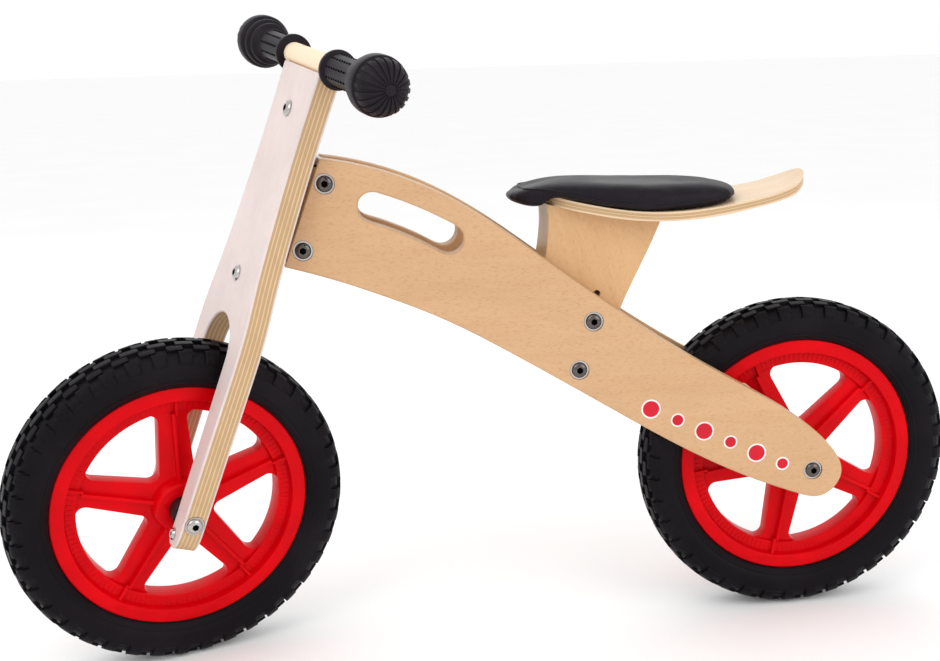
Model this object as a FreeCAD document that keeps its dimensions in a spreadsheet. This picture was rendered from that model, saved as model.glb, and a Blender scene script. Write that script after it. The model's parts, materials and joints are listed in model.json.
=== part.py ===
"""Wooden balance bike, in millimetres. The origin is on the ground under the rear axle.

+X points forward, +Y to the rider's left and +Z up. Two flat side plates lean towards each
other at the steering head and straddle the rear wheel. A fork cut from one board carries the
front wheel and the handlebar, and turns on a steel pin in the head block.
The fork stands turned to the left by "rest_turn", which is where its joint counts from.
"""
import FreeCAD, Part
import Sketcher
import math
import os

from FreeCAD import Placement, Rotation, Vector

doc = FreeCAD.newDocument("BalanceBike")
sheet = doc.addObject("Spreadsheet::Sheet", "Sizes")

SIZES = [
    # wheels
    ("wheel_radius", 150), ("wheelbase", 578), ("tyre_width", 50), ("rim_radius", 113.5),
    ("rim_width", 36), ("well_radius", 106), ("well_width", 28), ("flange_bore", 101),
    ("ring_bore", 90), ("ring_width", 20), ("spoke_plate", 14), ("spoke_end", 24),
    ("spoke_root", 32), ("rib_width", 3), ("rib_height", 26), ("hub_radius", 24),
    ("hub_width", 40), ("spoke_count", 5), ("rear_phase", 64), ("front_phase", -3),
    ("rim_ease", 1), ("hub_ease", 2),
    # axles
    ("axle_radius", 4), ("sleeve_radius", 5), ("bearing_radius", 11), ("bearing_width", 7),
    ("spacer_radius", 13), ("wheel_gap", 0.4), ("run_gap", 0.05), ("hole_gap", 0.2),
    # frame plates
    ("plate_thick", 18), ("rear_half", 62), ("head_half", 28.5), ("spot_depth", 1.6),
    ("tail_radius", 27), ("grip_slot_width", 26.5), ("head_height", 98), ("head_low", 233),
    ("block_height", 78), ("block_low", 243), ("block_depth", 36), ("block_wall", 4.2),
    ("edge_ease", 1), ("glue_gap", 0.05), ("flat_margin", 1),
    # steering
    ("rake", 21.4), ("rest_turn", 20), ("setback", 25), ("pin_radius", 5), ("bush_wall", 1.5),
    ("bush_length", 15), ("bush_flange", 2), ("washer_thick", 1.2), ("lug_thick", 3),
    ("strap_thick", 3), ("strap_width", 26), ("strap_end", 12), ("lug_width", 19.2),
    ("play", 0.3),
    # fork board and handlebar
    ("board_thick", 20), ("board_top", 397), ("top_half", 43.5), ("neck_half", 42.5),
    ("crown_half", 57.5), ("leg_half", 60), ("foot_half", 57), ("foot_low", 27),
    ("slot_half", 33.5), ("arch_top", 177), ("high_bolt", 360.5), ("low_bolt", 214),
    ("leg_screw_drop", 16), ("leg_screw_side", 41), ("bar_radius", 9.5), ("bar_half", 160),
    ("bar_seat", 2), ("foot_seat", 0.8), ("toe_round", 7), ("grip_start", 53), ("grip_flange", 5),
    ("flange_radius", 16.3), ("sleeve_grip_radius", 13.3), ("knob_start", 118),
    ("knob_radius", 23.5), ("grip_end", 168),
    # fasteners
    ("bolt_radius", 3), ("head_radius", 7), ("head_thick", 3.4), ("washer_radius", 8.4),
    ("nut_radius", 6.6), ("nut_thick", 5), ("socket_radius", 2.2), ("socket_depth", 2),
    ("bolt_back", 38.7), ("head_bolt_high", 312), ("head_bolt_low", 252),
    ("screw_radius", 2), ("screw_head", 4.2), ("screw_rim", 0.8), ("screw_sink", 0.6),
    ("seat_screw_side", 14), ("seat_screw_length", 32), ("bar_screw_side", 28),
    ("bar_screw_length", 50), ("nut_flat", 5.8), ("pin_head", 8.4), ("pin_head_thick", 2.5),
    # seat
    ("post_bolt_x", 215), ("post_bolt_z", 255), ("post_pitch", 22.7), ("post_lean", 17),
    ("post_toe", 13), ("seat_board_thick", 8), ("seat_half", 56), ("seat_nose_half", 36),
    ("cushion_thick", 23), ("cushion_gap", 0.3), ("seat_low", 385),
    ("peg_radius", 7.3), ("peg_x", 58.5), ("peg_z", 221), ("peg_length", 13.5),
]
for row, (alias, value) in enumerate(SIZES, start=1):
    sheet.set(f"A{row}", alias)
    sheet.set(f"B{row}", str(value))
    sheet.setAlias(f"B{row}", alias)
doc.recompute()


def size(alias):
    """The number that the sheet holds for one alias."""
    return float(sheet.get(alias))


X, Y, Z = Vector(1, 0, 0), Vector(0, 1, 0), Vector(0, 0, 1)
AXLE_HEIGHT = size("wheel_radius")
REAR_AXLE = Vector(0, 0, AXLE_HEIGHT)
FRONT_AXLE = Vector(size("wheelbase"), 0, AXLE_HEIGHT)

# The fork's own frame: x is square to the board and points forward, z runs up the board.
RAKED = Placement(FRONT_AXLE, Rotation(Y, -size("rake")))
STEERED = Placement(Vector(), Rotation(Z, size("rest_turn")), Vector(-size("setback"), 0, 0))
FORK = RAKED.multiply(STEERED)
# The head's own frame is the fork's, before the fork is turned.
HEAD = RAKED
HEAD_TOP = size("head_low") + size("head_height")
BLOCK_TOP = size("block_low") + size("block_height")
PIN_MIDDLE = HEAD.multVec(Vector(-size("setback"), 0, size("head_low") + size("head_height") / 2))

# The side plates lean in towards the head by this angle.
SPLAY = math.degrees(math.atan((size("rear_half") - size("head_half")) / PIN_MIDDLE.x))
BOLT_HIGH = HEAD.multVec(Vector(-size("bolt_back"), 0, size("head_bolt_high")))
BOLT_LOW = HEAD.multVec(Vector(-size("bolt_back"), 0, size("head_bolt_low")))


def outer_face(x):
    """How far the side plates' outer faces stand from the middle at x."""
    return size("rear_half") - x * math.tan(math.radians(SPLAY))


def inner_face(x):
    """How far the side plates' inner faces stand from the middle at x."""
    return outer_face(x) - size("plate_thick") / math.cos(math.radians(SPLAY))


# ---------------------------------------------------------------- helpers

def named(obj, label):
    """Give an object the label that names its file."""
    obj.Label = label
    return obj


def origin_plane(body, role):
    return next(f for f in body.Origin.OriginFeatures if f.Role == role)


def sketch_on(body, role, name):
    """A new sketch on one of a body's own origin planes."""
    sketch = body.newObject("Sketcher::SketchObject", name)
    sketch.AttachmentSupport = [(origin_plane(body, role), "")]
    sketch.MapMode = "FlatFace"
    return sketch


def value_of(text):
    """What an expression such as "Sizes.hub_width / 2" comes to."""
    holder = doc.addObject("App::FeaturePython", "Probe")
    holder.addProperty("App::PropertyFloat", "Answer")
    holder.setExpression("Answer", text)
    doc.recompute([holder])
    answer = holder.Answer
    doc.removeObject(holder.Name)
    return answer


def turned(name, outline, place):
    """A body of revolution about its own Z. The outline is (radius, height) expressions."""
    body = doc.addObject("PartDesign::Body", name)
    sketch = sketch_on(body, "XZ_Plane", name + "_outline")
    corners = [Vector(value_of(r), value_of(h), 0) for r, h in outline]
    count = len(corners)
    for i in range(count):
        sketch.addGeometry(Part.LineSegment(corners[i], corners[(i + 1) % count]), False)
    for i in range(count):
        sketch.addConstraint(Sketcher.Constraint("Coincident", i, 2, (i + 1) % count, 1))
    for i, (radius, height) in enumerate(outline):
        across = ("DistanceX", radius, corners[i].x)
        along = ("DistanceY", height, corners[i].y)
        for way, text, number in (across, along):
            index = sketch.addConstraint(Sketcher.Constraint(way, -1, 1, i, 1, number))
            sketch.setExpression(f"Constraints[{index}]", text)
    turn = body.newObject("PartDesign::Revolution", name + "_turn")
    turn.Profile = sketch
    turn.ReferenceAxis = (sketch, ["V_Axis"])
    turn.Angle = 360
    body.Placement = place
    return body


def padded(name, curves, thickness, place):
    """A flat board: closed curves in its own XY plane, padded to both sides, edges eased."""
    body = doc.addObject("PartDesign::Body", name)
    sketch = sketch_on(body, "XY_Plane", name + "_outline")
    sketch.addGeometry(curves, False)
    pad = body.newObject("PartDesign::Pad", name + "_pad")
    pad.Profile = sketch
    pad.SideType = "Symmetric"
    pad.setExpression("Length", thickness)
    doc.recompute()
    ease = body.newObject("PartDesign::Chamfer", name + "_ease")
    ease.Base = (pad, face_edges(pad.Shape, value_of(thickness) / 2))
    ease.setExpression("Size", "Sizes.edge_ease")
    body.Placement = place
    return body


def face_edges(shape, height):
    """The names of a board's edges that run round its two faces, at plus and minus height."""
    names = []
    for index, edge in enumerate(shape.Edges, start=1):
        box = edge.BoundBox
        if box.ZLength < height and abs(abs(box.Center.z) - height) < height / 10:
            names.append(f"Edge{index}")
    return names


def rod(name, radius, length, place):
    """A plain cylinder along its own Z, centred on its placement."""
    obj = doc.addObject("Part::Cylinder", name)
    obj.setExpression("Radius", radius)
    obj.setExpression("Height", length)
    obj.Placement = place.multiply(Placement(Vector(0, 0, -value_of(length) / 2), Rotation()))
    return obj


def cut(label, base, tools):
    """One object less several others."""
    tool = tools[0]
    if len(tools) > 1:
        tool = doc.addObject("Part::MultiFuse", label + "_tools")
        tool.Shapes = tools
    result = doc.addObject("Part::Cut", label)
    result.Base = base
    result.Tool = tool
    return named(result, label)


def fused(label, shapes):
    result = doc.addObject("Part::MultiFuse", label)
    result.Shapes = shapes
    return named(result, label)


def group(label, members):
    """Separate solids of one kind that share a node."""
    result = doc.addObject("Part::Compound", label)
    result.Links = members
    return named(result, label)


def solid(label, shape, place=None):
    """A piece whose curved shape is worked out here from the sheet's sizes."""
    result = doc.addObject("Part::Feature", label)
    result.Shape = shape
    if place is not None:
        result.Placement = place
    return named(result, label)


def spline(points, closed=False):
    """A smooth curve through flat points."""
    curve = Part.BSplineCurve()
    curve.interpolate(Points=[Vector(*p, 0) for p in points], PeriodicFlag=closed)
    return curve


def line(start, end):
    return Part.LineSegment(Vector(*start, 0), Vector(*end, 0))


def prism(curves, low, high, rotation):
    """The solid between two heights over closed plane curves, then turned."""
    wire = Part.Wire(Part.sortEdges([c.toShape() for c in curves])[0])
    body = Part.Face(wire).extrude(Vector(0, 0, high - low))
    body.translate(Vector(0, 0, low))
    body.Placement = Placement(Vector(), rotation).multiply(body.Placement)
    return body


def pointing(where, direction):
    """A placement whose Z points along direction."""
    return Placement(where, Rotation(Z, direction))


UPRIGHT = Rotation(X, Vector(0, 0, 1), Vector(0, -1, 0), "ZXY")
FACING = Rotation(Y, Z, X, "ZXY")
NODES = []


def keep(obj):
    """Mark an object as a sub-part with its own node."""
    NODES.append(obj)
    return obj


# ---------------------------------------------------------------- fasteners

def button_bolt(name, reach, radius, place):
    """A round-headed bolt: its head sits on Z = 0 and the shank runs down to -reach."""
    return turned(name, [
        (radius, f"-({reach})"), (radius, "0"), ("Sizes.head_radius", "0"),
        ("Sizes.head_radius", "Sizes.head_thick * 0.35"),
        ("Sizes.head_radius * 0.7", "Sizes.head_thick * 0.9"),
        ("Sizes.socket_radius", "Sizes.head_thick"),
        ("Sizes.socket_radius", "Sizes.head_thick - Sizes.socket_depth"),
        ("0", "Sizes.head_thick - Sizes.socket_depth"), ("0", f"-({reach})"),
    ], place)


def washer(name, bore, place):
    """A flat washer that stands on Z = 0."""
    return turned(name, [
        (bore, "0"), ("Sizes.washer_radius", "0"),
        ("Sizes.washer_radius", "Sizes.washer_thick"), (bore, "Sizes.washer_thick"),
    ], place)


def cap_nut(name, bore, place):
    """A domed nut on a bolt's end: it stands on Z = 0 and closes over the thread."""
    return turned(name, [
        (bore, "0"), ("Sizes.nut_radius", "0"), ("Sizes.nut_radius", "Sizes.nut_thick * 0.7"),
        ("Sizes.nut_radius * 0.6", "Sizes.nut_thick * 1.3"), ("0", "Sizes.nut_thick * 1.5"),
        ("0", "Sizes.nut_thick"), (bore, "Sizes.nut_thick"),
    ], place)


def through_bolt(stem, where, seats, radius):
    """A bolt across the bike with a washer at each end and a cap nut on the right."""
    left = pointing(Vector(where.x, seats, where.z), Y)
    right = pointing(Vector(where.x, -seats, where.z), -Y)
    lift = Placement(Vector(0, 0, size("washer_thick")), Rotation())
    reach = f"{2 * seats} + 2 * Sizes.washer_thick + Sizes.nut_thick"
    bolt = button_bolt(stem + "_bolt", reach, radius, left.multiply(lift))
    washers = [washer(stem + "_washer_l", radius, left), washer(stem + "_washer_r", radius, right)]
    nut = cap_nut(stem + "_nut", radius, right.multiply(lift))
    return bolt, washers, nut


# ---------------------------------------------------------------- wheels

def window(mid_angle):
    """The solid that one rounded three-sided window takes out of the wheel."""
    outer = size("ring_bore")
    half = math.pi / size("spoke_count")
    end_half, root_half = size("spoke_end") / 2, size("spoke_root") / 2
    inner = root_half / math.sin(half)
    reach = math.asin(end_half / outer)
    tip = Vector(inner, 0, 0)
    far = outer * 1.2
    spoke_edge = outer * Vector(math.cos(half - reach), math.sin(half - reach), 0) - tip
    side = tip + spoke_edge * ((far - inner) / spoke_edge.x)
    corners = [tip, side, Vector(side.x, -side.y, 0), tip]
    deep = size("rim_width")
    wedge = Part.Face(Part.makePolygon(corners)).extrude(Vector(0, 0, 2 * deep))
    wedge.translate(Vector(0, 0, -deep))
    wedge = wedge.common(Part.makeCylinder(outer, 4 * deep, Vector(0, 0, -2 * deep)))
    upright = [e for e in wedge.Edges if abs(e.tangentAt(e.FirstParameter).z) > 0.99]
    wedge = wedge.makeFillet(end_half * 2 / 3, upright)
    wedge.rotate(Vector(), Z, mid_angle)
    return wedge


def below(outline):
    """The lower half of an outline that is the same above and below Z = 0."""
    return [(radius, f"-({height})") for radius, height in reversed(outline)]


def wheel(stem, place, phase):
    """Rim, spokes, tyre and bearings about the placement's Z."""
    half_ring, half_plate = "Sizes.ring_width / 2", "Sizes.spoke_plate / 2"
    half_rim, half_well = "Sizes.rim_width / 2", "Sizes.well_width / 2"
    half_hub = "Sizes.hub_width / 2"
    ring = [
        ("Sizes.ring_bore", half_ring), ("Sizes.flange_bore - Sizes.rim_ease", half_ring),
        ("Sizes.flange_bore", half_rim), ("Sizes.rim_radius - Sizes.rim_ease", half_rim),
        ("Sizes.rim_radius", half_rim + " - Sizes.rim_ease"),
        ("Sizes.rim_radius", half_well), ("Sizes.well_radius", half_well),
    ]
    keep(named(turned(stem + "_rim", ring + below(ring), place), stem + "_rim"))
    star = [
        ("Sizes.bearing_radius", half_hub), ("Sizes.hub_radius - Sizes.hub_ease", half_hub),
        ("Sizes.hub_radius", half_hub + " - Sizes.hub_ease"),
        ("Sizes.hub_radius + Sizes.hub_ease", half_plate), ("Sizes.ring_bore", half_plate),
    ]
    disc = turned(stem + "_disc", star + below(star), place)
    ribs = []
    spoke_step = 360 / size("spoke_count")
    for k in range(int(size("spoke_count"))):
        angle = phase + k * spoke_step
        rib = doc.addObject("Part::Box", f"{stem}_rib_{k}")
        rib.setExpression("Length", "Sizes.ring_bore - Sizes.hub_radius - Sizes.rim_ease")
        rib.setExpression("Width", "Sizes.rib_width")
        rib.setExpression("Height", "Sizes.rib_height")
        turn = Placement(Vector(), Rotation(Z, angle))
        corner = Vector(size("hub_radius") - size("rim_ease"), -size("rib_width") / 2,
                        -size("rib_height") / 2)
        rib.Placement = place.multiply(turn).multiply(Placement(corner, Rotation()))
        ribs.append(rib)
    cuts = [window(phase + (k + 0.5) * spoke_step) for k in range(int(size("spoke_count")))]
    windows = solid(stem + "_windows", Part.makeCompound(cuts), place)
    keep(cut(stem + "_spokes", fused(stem + "_star", [disc] + ribs), [windows]))
    tread, side = "Sizes.wheel_radius", "Sizes.tyre_width / 2"
    crown = [
        ("Sizes.well_radius", half_well), ("Sizes.rim_radius", half_well),
        ("Sizes.rim_radius", half_rim), ("Sizes.rim_radius + 4", side + " - 4"),
        ("Sizes.rim_radius + 13", side), (tread + " - 10", side), (tread + " - 4", side + " - 4"),
        (tread + " - 1", side + " - 12"), (tread, "5"),
    ]
    keep(named(turned(stem + "_tyre", crown + below(crown), place), stem + "_tyre"))
    bearings = []
    for side_name, sign in (("a", 1), ("b", -1)):
        face = f"{sign} * (Sizes.hub_width / 2)"
        back = f"{sign} * (Sizes.hub_width / 2 - Sizes.bearing_width)"
        bearings.append(turned(stem + "_bearing_" + side_name, [
            ("Sizes.sleeve_radius + Sizes.run_gap", back), ("Sizes.bearing_radius", back),
            ("Sizes.bearing_radius", face), ("Sizes.sleeve_radius + Sizes.run_gap", face),
        ], place))
    keep(group(stem + "_bearings", bearings))


def axle_set(stem, place, outer_text):
    """Sleeve and two black spacers of a wheel, between the faces that hold them."""
    gap = "Sizes.hub_width / 2 + Sizes.wheel_gap"
    keep(named(turned(stem + "_axle_sleeve", [
        ("Sizes.axle_radius", f"-({gap})"), ("Sizes.sleeve_radius", f"-({gap})"),
        ("Sizes.sleeve_radius", gap), ("Sizes.axle_radius", gap),
    ], place), stem + "_axle_sleeve"))
    spacers = []
    for side_name, sign in (("l", 1), ("r", -1)):
        spacers.append(turned(f"{stem}_spacer_{side_name}", [
            ("Sizes.axle_radius", f"{sign} * ({gap})"),
            ("Sizes.spacer_radius", f"{sign} * ({gap})"),
            ("Sizes.spacer_radius", f"{sign} * ({outer_text})"),
            ("Sizes.axle_radius", f"{sign} * ({outer_text})"),
        ], place))
    keep(group(stem + "_spacers", spacers))


# A wheel's own Z is its axle, to the left, and its X points forward.
WHEEL_TURN = Rotation(X, -Z, Y, "ZXY")
REAR_WHEEL = Placement(REAR_AXLE, WHEEL_TURN)
FRONT_WHEEL = FORK.multiply(Placement(Vector(), WHEEL_TURN))
wheel("rear", REAR_WHEEL, -size("rear_phase"))
wheel("front", FRONT_WHEEL, -size("front_phase"))

# ---------------------------------------------------------------- side plates

# The plates' outline from the side, x forward and z up: along the top from the head to the
# tail, and back along the bottom. The tail is an arc about the rear axle.
head_front_top = HEAD.multVec(Vector(-size("setback") - 2, 0, HEAD_TOP - 1))
head_front_low = HEAD.multVec(Vector(-size("setback") - 2, 0, size("head_low")))
WB = size("wheelbase")
TOP_LINE = [
    (head_front_top.x, head_front_top.z), (WB - 174, AXLE_HEIGHT + 292),
    (WB - 210, AXLE_HEIGHT + 281), (WB - 265, AXLE_HEIGHT + 254),
    (WB - 330, AXLE_HEIGHT + 208), (WB - 400, AXLE_HEIGHT + 155.5),
    (WB - 485, AXLE_HEIGHT + 99), (WB - 575, AXLE_HEIGHT + 41),
]
LOW_LINE = [
    (head_front_low.x, head_front_low.z), (WB - 151, AXLE_HEIGHT + 194.5),
    (WB - 192, AXLE_HEIGHT + 179), (WB - 243, AXLE_HEIGHT + 156.5),
    (WB - 294, AXLE_HEIGHT + 128), (WB - 358, AXLE_HEIGHT + 88.5), (WB - 400, AXLE_HEIGHT + 62),
    (WB - 457, AXLE_HEIGHT + 27.5), (WB - 510, AXLE_HEIGHT), (WB - 563, AXLE_HEIGHT - 21.5),
]
SLOT_LINE = [(WB - 188, AXLE_HEIGHT + 255), (WB - 221, AXLE_HEIGHT + 242),
             (WB - 251, AXLE_HEIGHT + 226)]
SLOT_STEPS = 6


def tail_points():
    """The rounded tail, from above the rear axle round behind it and under."""
    radius = size("tail_radius")
    return [(-radius * 0.66, AXLE_HEIGHT + 20), (-radius, AXLE_HEIGHT - 5),
            (-radius * 0.35, AXLE_HEIGHT - radius * 0.93)]


def slot_points():
    """The grab slot's edge: over its middle line, round the rear end, back under and round."""
    half = size("grip_slot_width") / 2
    middle = spline(SLOT_LINE)
    span = middle.LastParameter - middle.FirstParameter
    places = [middle.FirstParameter + span * k / SLOT_STEPS for k in range(SLOT_STEPS + 1)]
    over, under = [], []
    for place in places:
        along = middle.tangent(place)[0]
        across = Vector(along.y, -along.x, 0) * half
        over.append(middle.value(place) + across)
        under.append(middle.value(place) - across)

    def round_end(centre, start):
        """The points between one side and the other, half a turn about an end's centre."""
        angles = [180 * k / SLOT_STEPS for k in range(1, SLOT_STEPS)]
        return [centre + Rotation(Z, angle).multVec(start - centre) for angle in angles]

    rear = round_end(middle.value(places[-1]), over[-1])
    nose = round_end(middle.value(places[0]), under[0])
    return [(v.x, v.y) for v in over + rear + under[::-1] + nose]


def side_plate(side, sign):
    """One side plate, with its grab slot, bolt holes and the flats that its bolts seat on."""
    lean = Rotation(Z, -sign * SPLAY)
    half = size("plate_thick") / 2
    place = Placement(Vector(0, sign * size("rear_half"), 0), lean)
    place = place.multiply(Placement(Vector(0, -sign * half, 0), UPRIGHT))
    curves = [spline(TOP_LINE + tail_points() + LOW_LINE[::-1]), line(TOP_LINE[0], LOW_LINE[0]),
              spline(slot_points(), closed=True)]
    stem = "side_plate_" + side
    blank = padded(stem + "_blank", curves, "Sizes.plate_thick", place)
    tools = []
    for index, (where, shank) in enumerate(PLATE_BOLTS):
        middle = Vector(where.x, sign * outer_face(where.x), where.z)
        tools.append(rod(f"{stem}_hole_{index}", f"Sizes.{shank} + Sizes.hole_gap",
                         "4 * Sizes.plate_thick", pointing(middle, Y)))
        seat = Vector(where.x, sign * (bolt_seat(where.x) + size("plate_thick")), where.z)
        tools.append(rod(f"{stem}_spot_{index}", SPOT_RADIUS,
                         "2 * Sizes.plate_thick", pointing(seat, Y)))
    inner = Vector(0, sign * (SPACER_END - size("plate_thick")), AXLE_HEIGHT)
    tools.append(rod(stem + "_inner_flat", "Sizes.spacer_radius + Sizes.flat_margin",
                     "2 * Sizes.plate_thick", pointing(inner, Y)))
    keep(cut(stem, blank, tools))


def bolt_seat(x):
    """Where a bolt's washer seats at x: a flat, cut below the plate's outer face."""
    rim = outer_face(x + size("washer_radius"))
    return rim - size("spot_depth")


POST_LINE = Vector(-math.sin(math.radians(size("post_lean"))), 0,
                   math.cos(math.radians(size("post_lean"))))
POST_LOW = Vector(size("post_bolt_x"), 0, size("post_bolt_z"))
POST_HIGH = POST_LOW + POST_LINE * (2 * size("post_pitch"))
PLATE_BOLTS = [(BOLT_HIGH, "bolt_radius"), (BOLT_LOW, "bolt_radius"),
               (POST_HIGH, "bolt_radius"), (POST_LOW, "bolt_radius"), (REAR_AXLE, "axle_radius")]
SPOT_RADIUS = "Sizes.washer_radius + 2 * Sizes.hole_gap"
# The wheel's spacers end on flats that are cut a little into the plates' leaning inner faces.
FLAT_DEPTH = 0.1
SPACER_END = inner_face(-size("spacer_radius") - size("flat_margin")) + FLAT_DEPTH
side_plate("left", 1)
side_plate("right", -1)

# ---------------------------------------------------------------- head block and seat post


def wedge_between():
    """Everything between the side plates' inner faces, less a glue line on each side."""
    far, near = WB, -AXLE_HEIGHT
    gap = size("glue_gap")
    edge = [Vector(near, inner_face(near) - gap, 0), Vector(far, inner_face(far) - gap, 0)]
    mirror = [Vector(v.x, -v.y, 0) for v in reversed(edge)]
    face = Part.Face(Part.makePolygon(edge + mirror + [edge[0]]))
    return face.extrude(Vector(0, 0, 4 * AXLE_HEIGHT))


def head_block():
    """The block between the plates at the head, rounded in front about the steering pin."""
    nose = size("pin_radius") + size("bush_wall") + size("block_wall")
    height, half_width = size("block_height"), size("rear_half")
    box = Part.makeBox(size("block_depth"), 2 * half_width, height,
                       Vector(-size("block_depth"), -half_width, 0))
    rounding = Part.makeCylinder(nose, height)
    for shape in (box, rounding):
        shape.Placement = HEAD.multiply(
            Placement(Vector(-size("setback"), 0, size("block_low")), Rotation()))
    wedge = wedge_between()
    return box.common(wedge).fuse(rounding.common(wedge)).removeSplitter()


pin_line = HEAD.multiply(Placement(
    Vector(-size("setback"), 0, size("block_low") + size("block_height") / 2), Rotation()))
block_bores = [rod("head_bore", "Sizes.pin_radius + Sizes.run_gap + Sizes.bush_wall",
                   "2 * Sizes.block_height", pin_line)]
for index, where in enumerate((BOLT_HIGH, BOLT_LOW)):
    block_bores.append(rod(f"head_cross_{index}", "Sizes.bolt_radius + Sizes.hole_gap",
                           "4 * Sizes.plate_thick", pointing(where, Y)))
keep(cut("head_block", solid("head_block_blank", head_block()), block_bores))

bushes = []
for end_name, sign in (("top", 1), ("low", -1)):
    end = f"{sign} * (Sizes.block_height / 2)"
    rim = f"{sign} * (Sizes.block_height / 2 + Sizes.bush_flange)"
    deep = f"{sign} * (Sizes.block_height / 2 - Sizes.bush_length)"
    bore = "Sizes.pin_radius + Sizes.run_gap"
    wall = bore + " + Sizes.bush_wall"
    flange = bore + " + Sizes.bush_wall * 2.6"
    bushes.append(turned("head_bush_" + end_name, [
        (bore, deep), (wall, deep), (wall, end), (flange, end), (flange, rim), (bore, rim),
    ], pin_line))
keep(group("head_bushes", bushes))


# The seat board's underside, from its upswept tail to its nose.
SEAT_LINE = [(-2, 412), (12, 403), (47, 394), (85, 388), (130, size("seat_low")),
             (165, size("seat_low") + 1.5), (204, size("seat_low") + 8),
             (240, size("seat_low") + 16)]
SEAT_REACH = 100


def seat_under(x):
    """The height of the seat board's underside at x."""
    curve = spline(SEAT_LINE)
    crossing = curve.intersectCC(Part.LineSegment(Vector(x, 0, 0), Vector(x, 2 * WB, 0)))
    return crossing[0].Y


def seat_layer(low, high):
    """Everything between two heights over the seat board's curved underside."""
    under = spline(SEAT_LINE)
    floor, roof = under.copy(), under.copy()
    floor.translate(Vector(0, low, 0))
    roof.translate(Vector(0, high, 0))
    ends = [Part.LineSegment(floor.value(t), roof.value(t))
            for t in (under.FirstParameter, under.LastParameter)]
    return prism([floor, roof] + ends, -SEAT_REACH, SEAT_REACH, UPRIGHT)


def seat_post():
    """The post: a thick board that rises from between the plates and widens to the seat."""
    over = size("seat_board_thick")
    front = [(239.5, seat_under(239.5) + over), (237, 377), (240.5, 352), (246, 310), (249, 275)]
    rear = [(134, seat_under(134) + over), (154.5, 347), (175, 304), (189, 262), (194, 243)]
    toe = POST_LOW - POST_LINE * size("post_toe")
    heel, sole = (toe.x - 6, toe.z), (toe.x + 8, toe.z + 4)
    curves = [spline(front), spline(rear), line(rear[-1], heel), line(heel, sole),
              line(sole, front[-1]), line(front[0], rear[0])]
    slab = prism(curves, -SEAT_REACH, SEAT_REACH, UPRIGHT)
    return slab.common(wedge_between()).cut(seat_layer(0, SEAT_REACH))


post_blank = solid("seat_post_blank", seat_post())
post_holes = []
for step in range(4):
    where = POST_LOW + POST_LINE * (step * size("post_pitch"))
    post_holes.append(rod(f"post_hole_{step}", "Sizes.bolt_radius + Sizes.hole_gap",
                          "8 * Sizes.plate_thick", pointing(where, Y)))

# ---------------------------------------------------------------- seat

def plan_form(tail_half, middle_half, nose_half, tail_x, nose_x, corner):
    """A seat's outline from above, as a tall solid to trim a side profile with."""
    middle_x = tail_x + (nose_x - tail_x) * 0.45
    left = [(tail_x + corner, tail_half), (middle_x, middle_half),
            (nose_x - corner * 1.5, nose_half)]
    right = [(x, -y) for x, y in reversed(left)]
    nose = Part.Arc(Vector(*left[-1], 0), Vector(nose_x, 0, 0), Vector(*right[0], 0))
    tail = Part.Arc(Vector(*right[-1], 0), Vector(tail_x, 0, 0), Vector(*left[0], 0))
    curves = [spline(left), nose, spline(right), tail]
    wire = Part.Wire(Part.sortEdges([c.toShape() for c in curves])[0])
    return Part.Face(wire).extrude(Vector(0, 0, 4 * AXLE_HEIGHT))


def seat_board():
    """A curved plywood board: it sweeps up at the tail and rises to the nose."""
    half = size("seat_half")
    outline = plan_form(half * 0.7, half, size("seat_nose_half") + 6, -2, 239, 18)
    return seat_layer(0, size("seat_board_thick")).common(outline)


def seat_cushion():
    """The cushion on the board: it ends short of the tail and wraps down past the nose."""
    top = size("seat_low") + size("seat_board_thick") + size("cushion_thick")
    low = size("seat_low")
    nose = (272, top - 7)
    crown = [(50, top - 6.5), (110, top - 3), (165, top - 1.5), (222, top + 2), (258, top - 1), nose]
    front, rear = (nose[0], low), (crown[0][0], low)
    curves = [spline(crown), line(nose, front), line(front, rear), line(rear, crown[0])]
    slab = prism(curves, -SEAT_REACH, SEAT_REACH, UPRIGHT)
    half = size("seat_half")
    body = slab.common(plan_form(half * 0.86, half + 3, size("seat_nose_half"), 62, 273, 16))
    under_nose = [line((239, low - 1), (239, low + 11)), line((239, low + 11), (290, low + 21)),
                  line((290, low + 21), (290, low - 1)), line((290, low - 1), (239, low - 1))]
    body = body.cut(prism(under_nose, -SEAT_REACH, SEAT_REACH, UPRIGHT))
    return body.cut(seat_layer(-SEAT_REACH, size("seat_board_thick") + size("cushion_gap")))


def wood_screw(name, length, place):
    """A countersunk screw: its head is flush with Z = 0 and its point at -length."""
    return turned(name, [
        ("0", f"-{length}"), ("Sizes.screw_radius", f"2 * Sizes.screw_radius - {length}"),
        ("Sizes.screw_radius", "-Sizes.screw_head"), ("Sizes.screw_head", "-Sizes.screw_rim"),
        ("Sizes.screw_head", "0"), ("0", "0"),
    ], place)


SEAT_SCREW_PLACES = [(160, 1), (160, -1), (215, 1), (215, -1)]
seat_screws, sinks = [], []
for index, (x, way) in enumerate(SEAT_SCREW_PLACES):
    top = seat_under(x) + size("seat_board_thick") - size("screw_sink")
    where = Vector(x, way * size("seat_screw_side"), top)
    seat_screws.append(wood_screw(f"seat_screw_{index}", "Sizes.seat_screw_length",
                                  pointing(where, Z)))
    middle = where + Z * (size("seat_board_thick") / 2 - size("screw_sink"))
    sinks.append(rod(f"seat_sink_{index}", "Sizes.screw_head", "Sizes.seat_board_thick",
                     pointing(middle, Z)))
# A screw cuts its own hole in the wood that it is driven into.
keep(cut("seat_post", post_blank, post_holes + seat_screws))
keep(cut("seat_board", solid("seat_board_blank", seat_board()), seat_screws + sinks))
keep(solid("seat_cushion", seat_cushion()))
keep(group("seat_screws", seat_screws))

# ---------------------------------------------------------------- frame bolts

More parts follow.
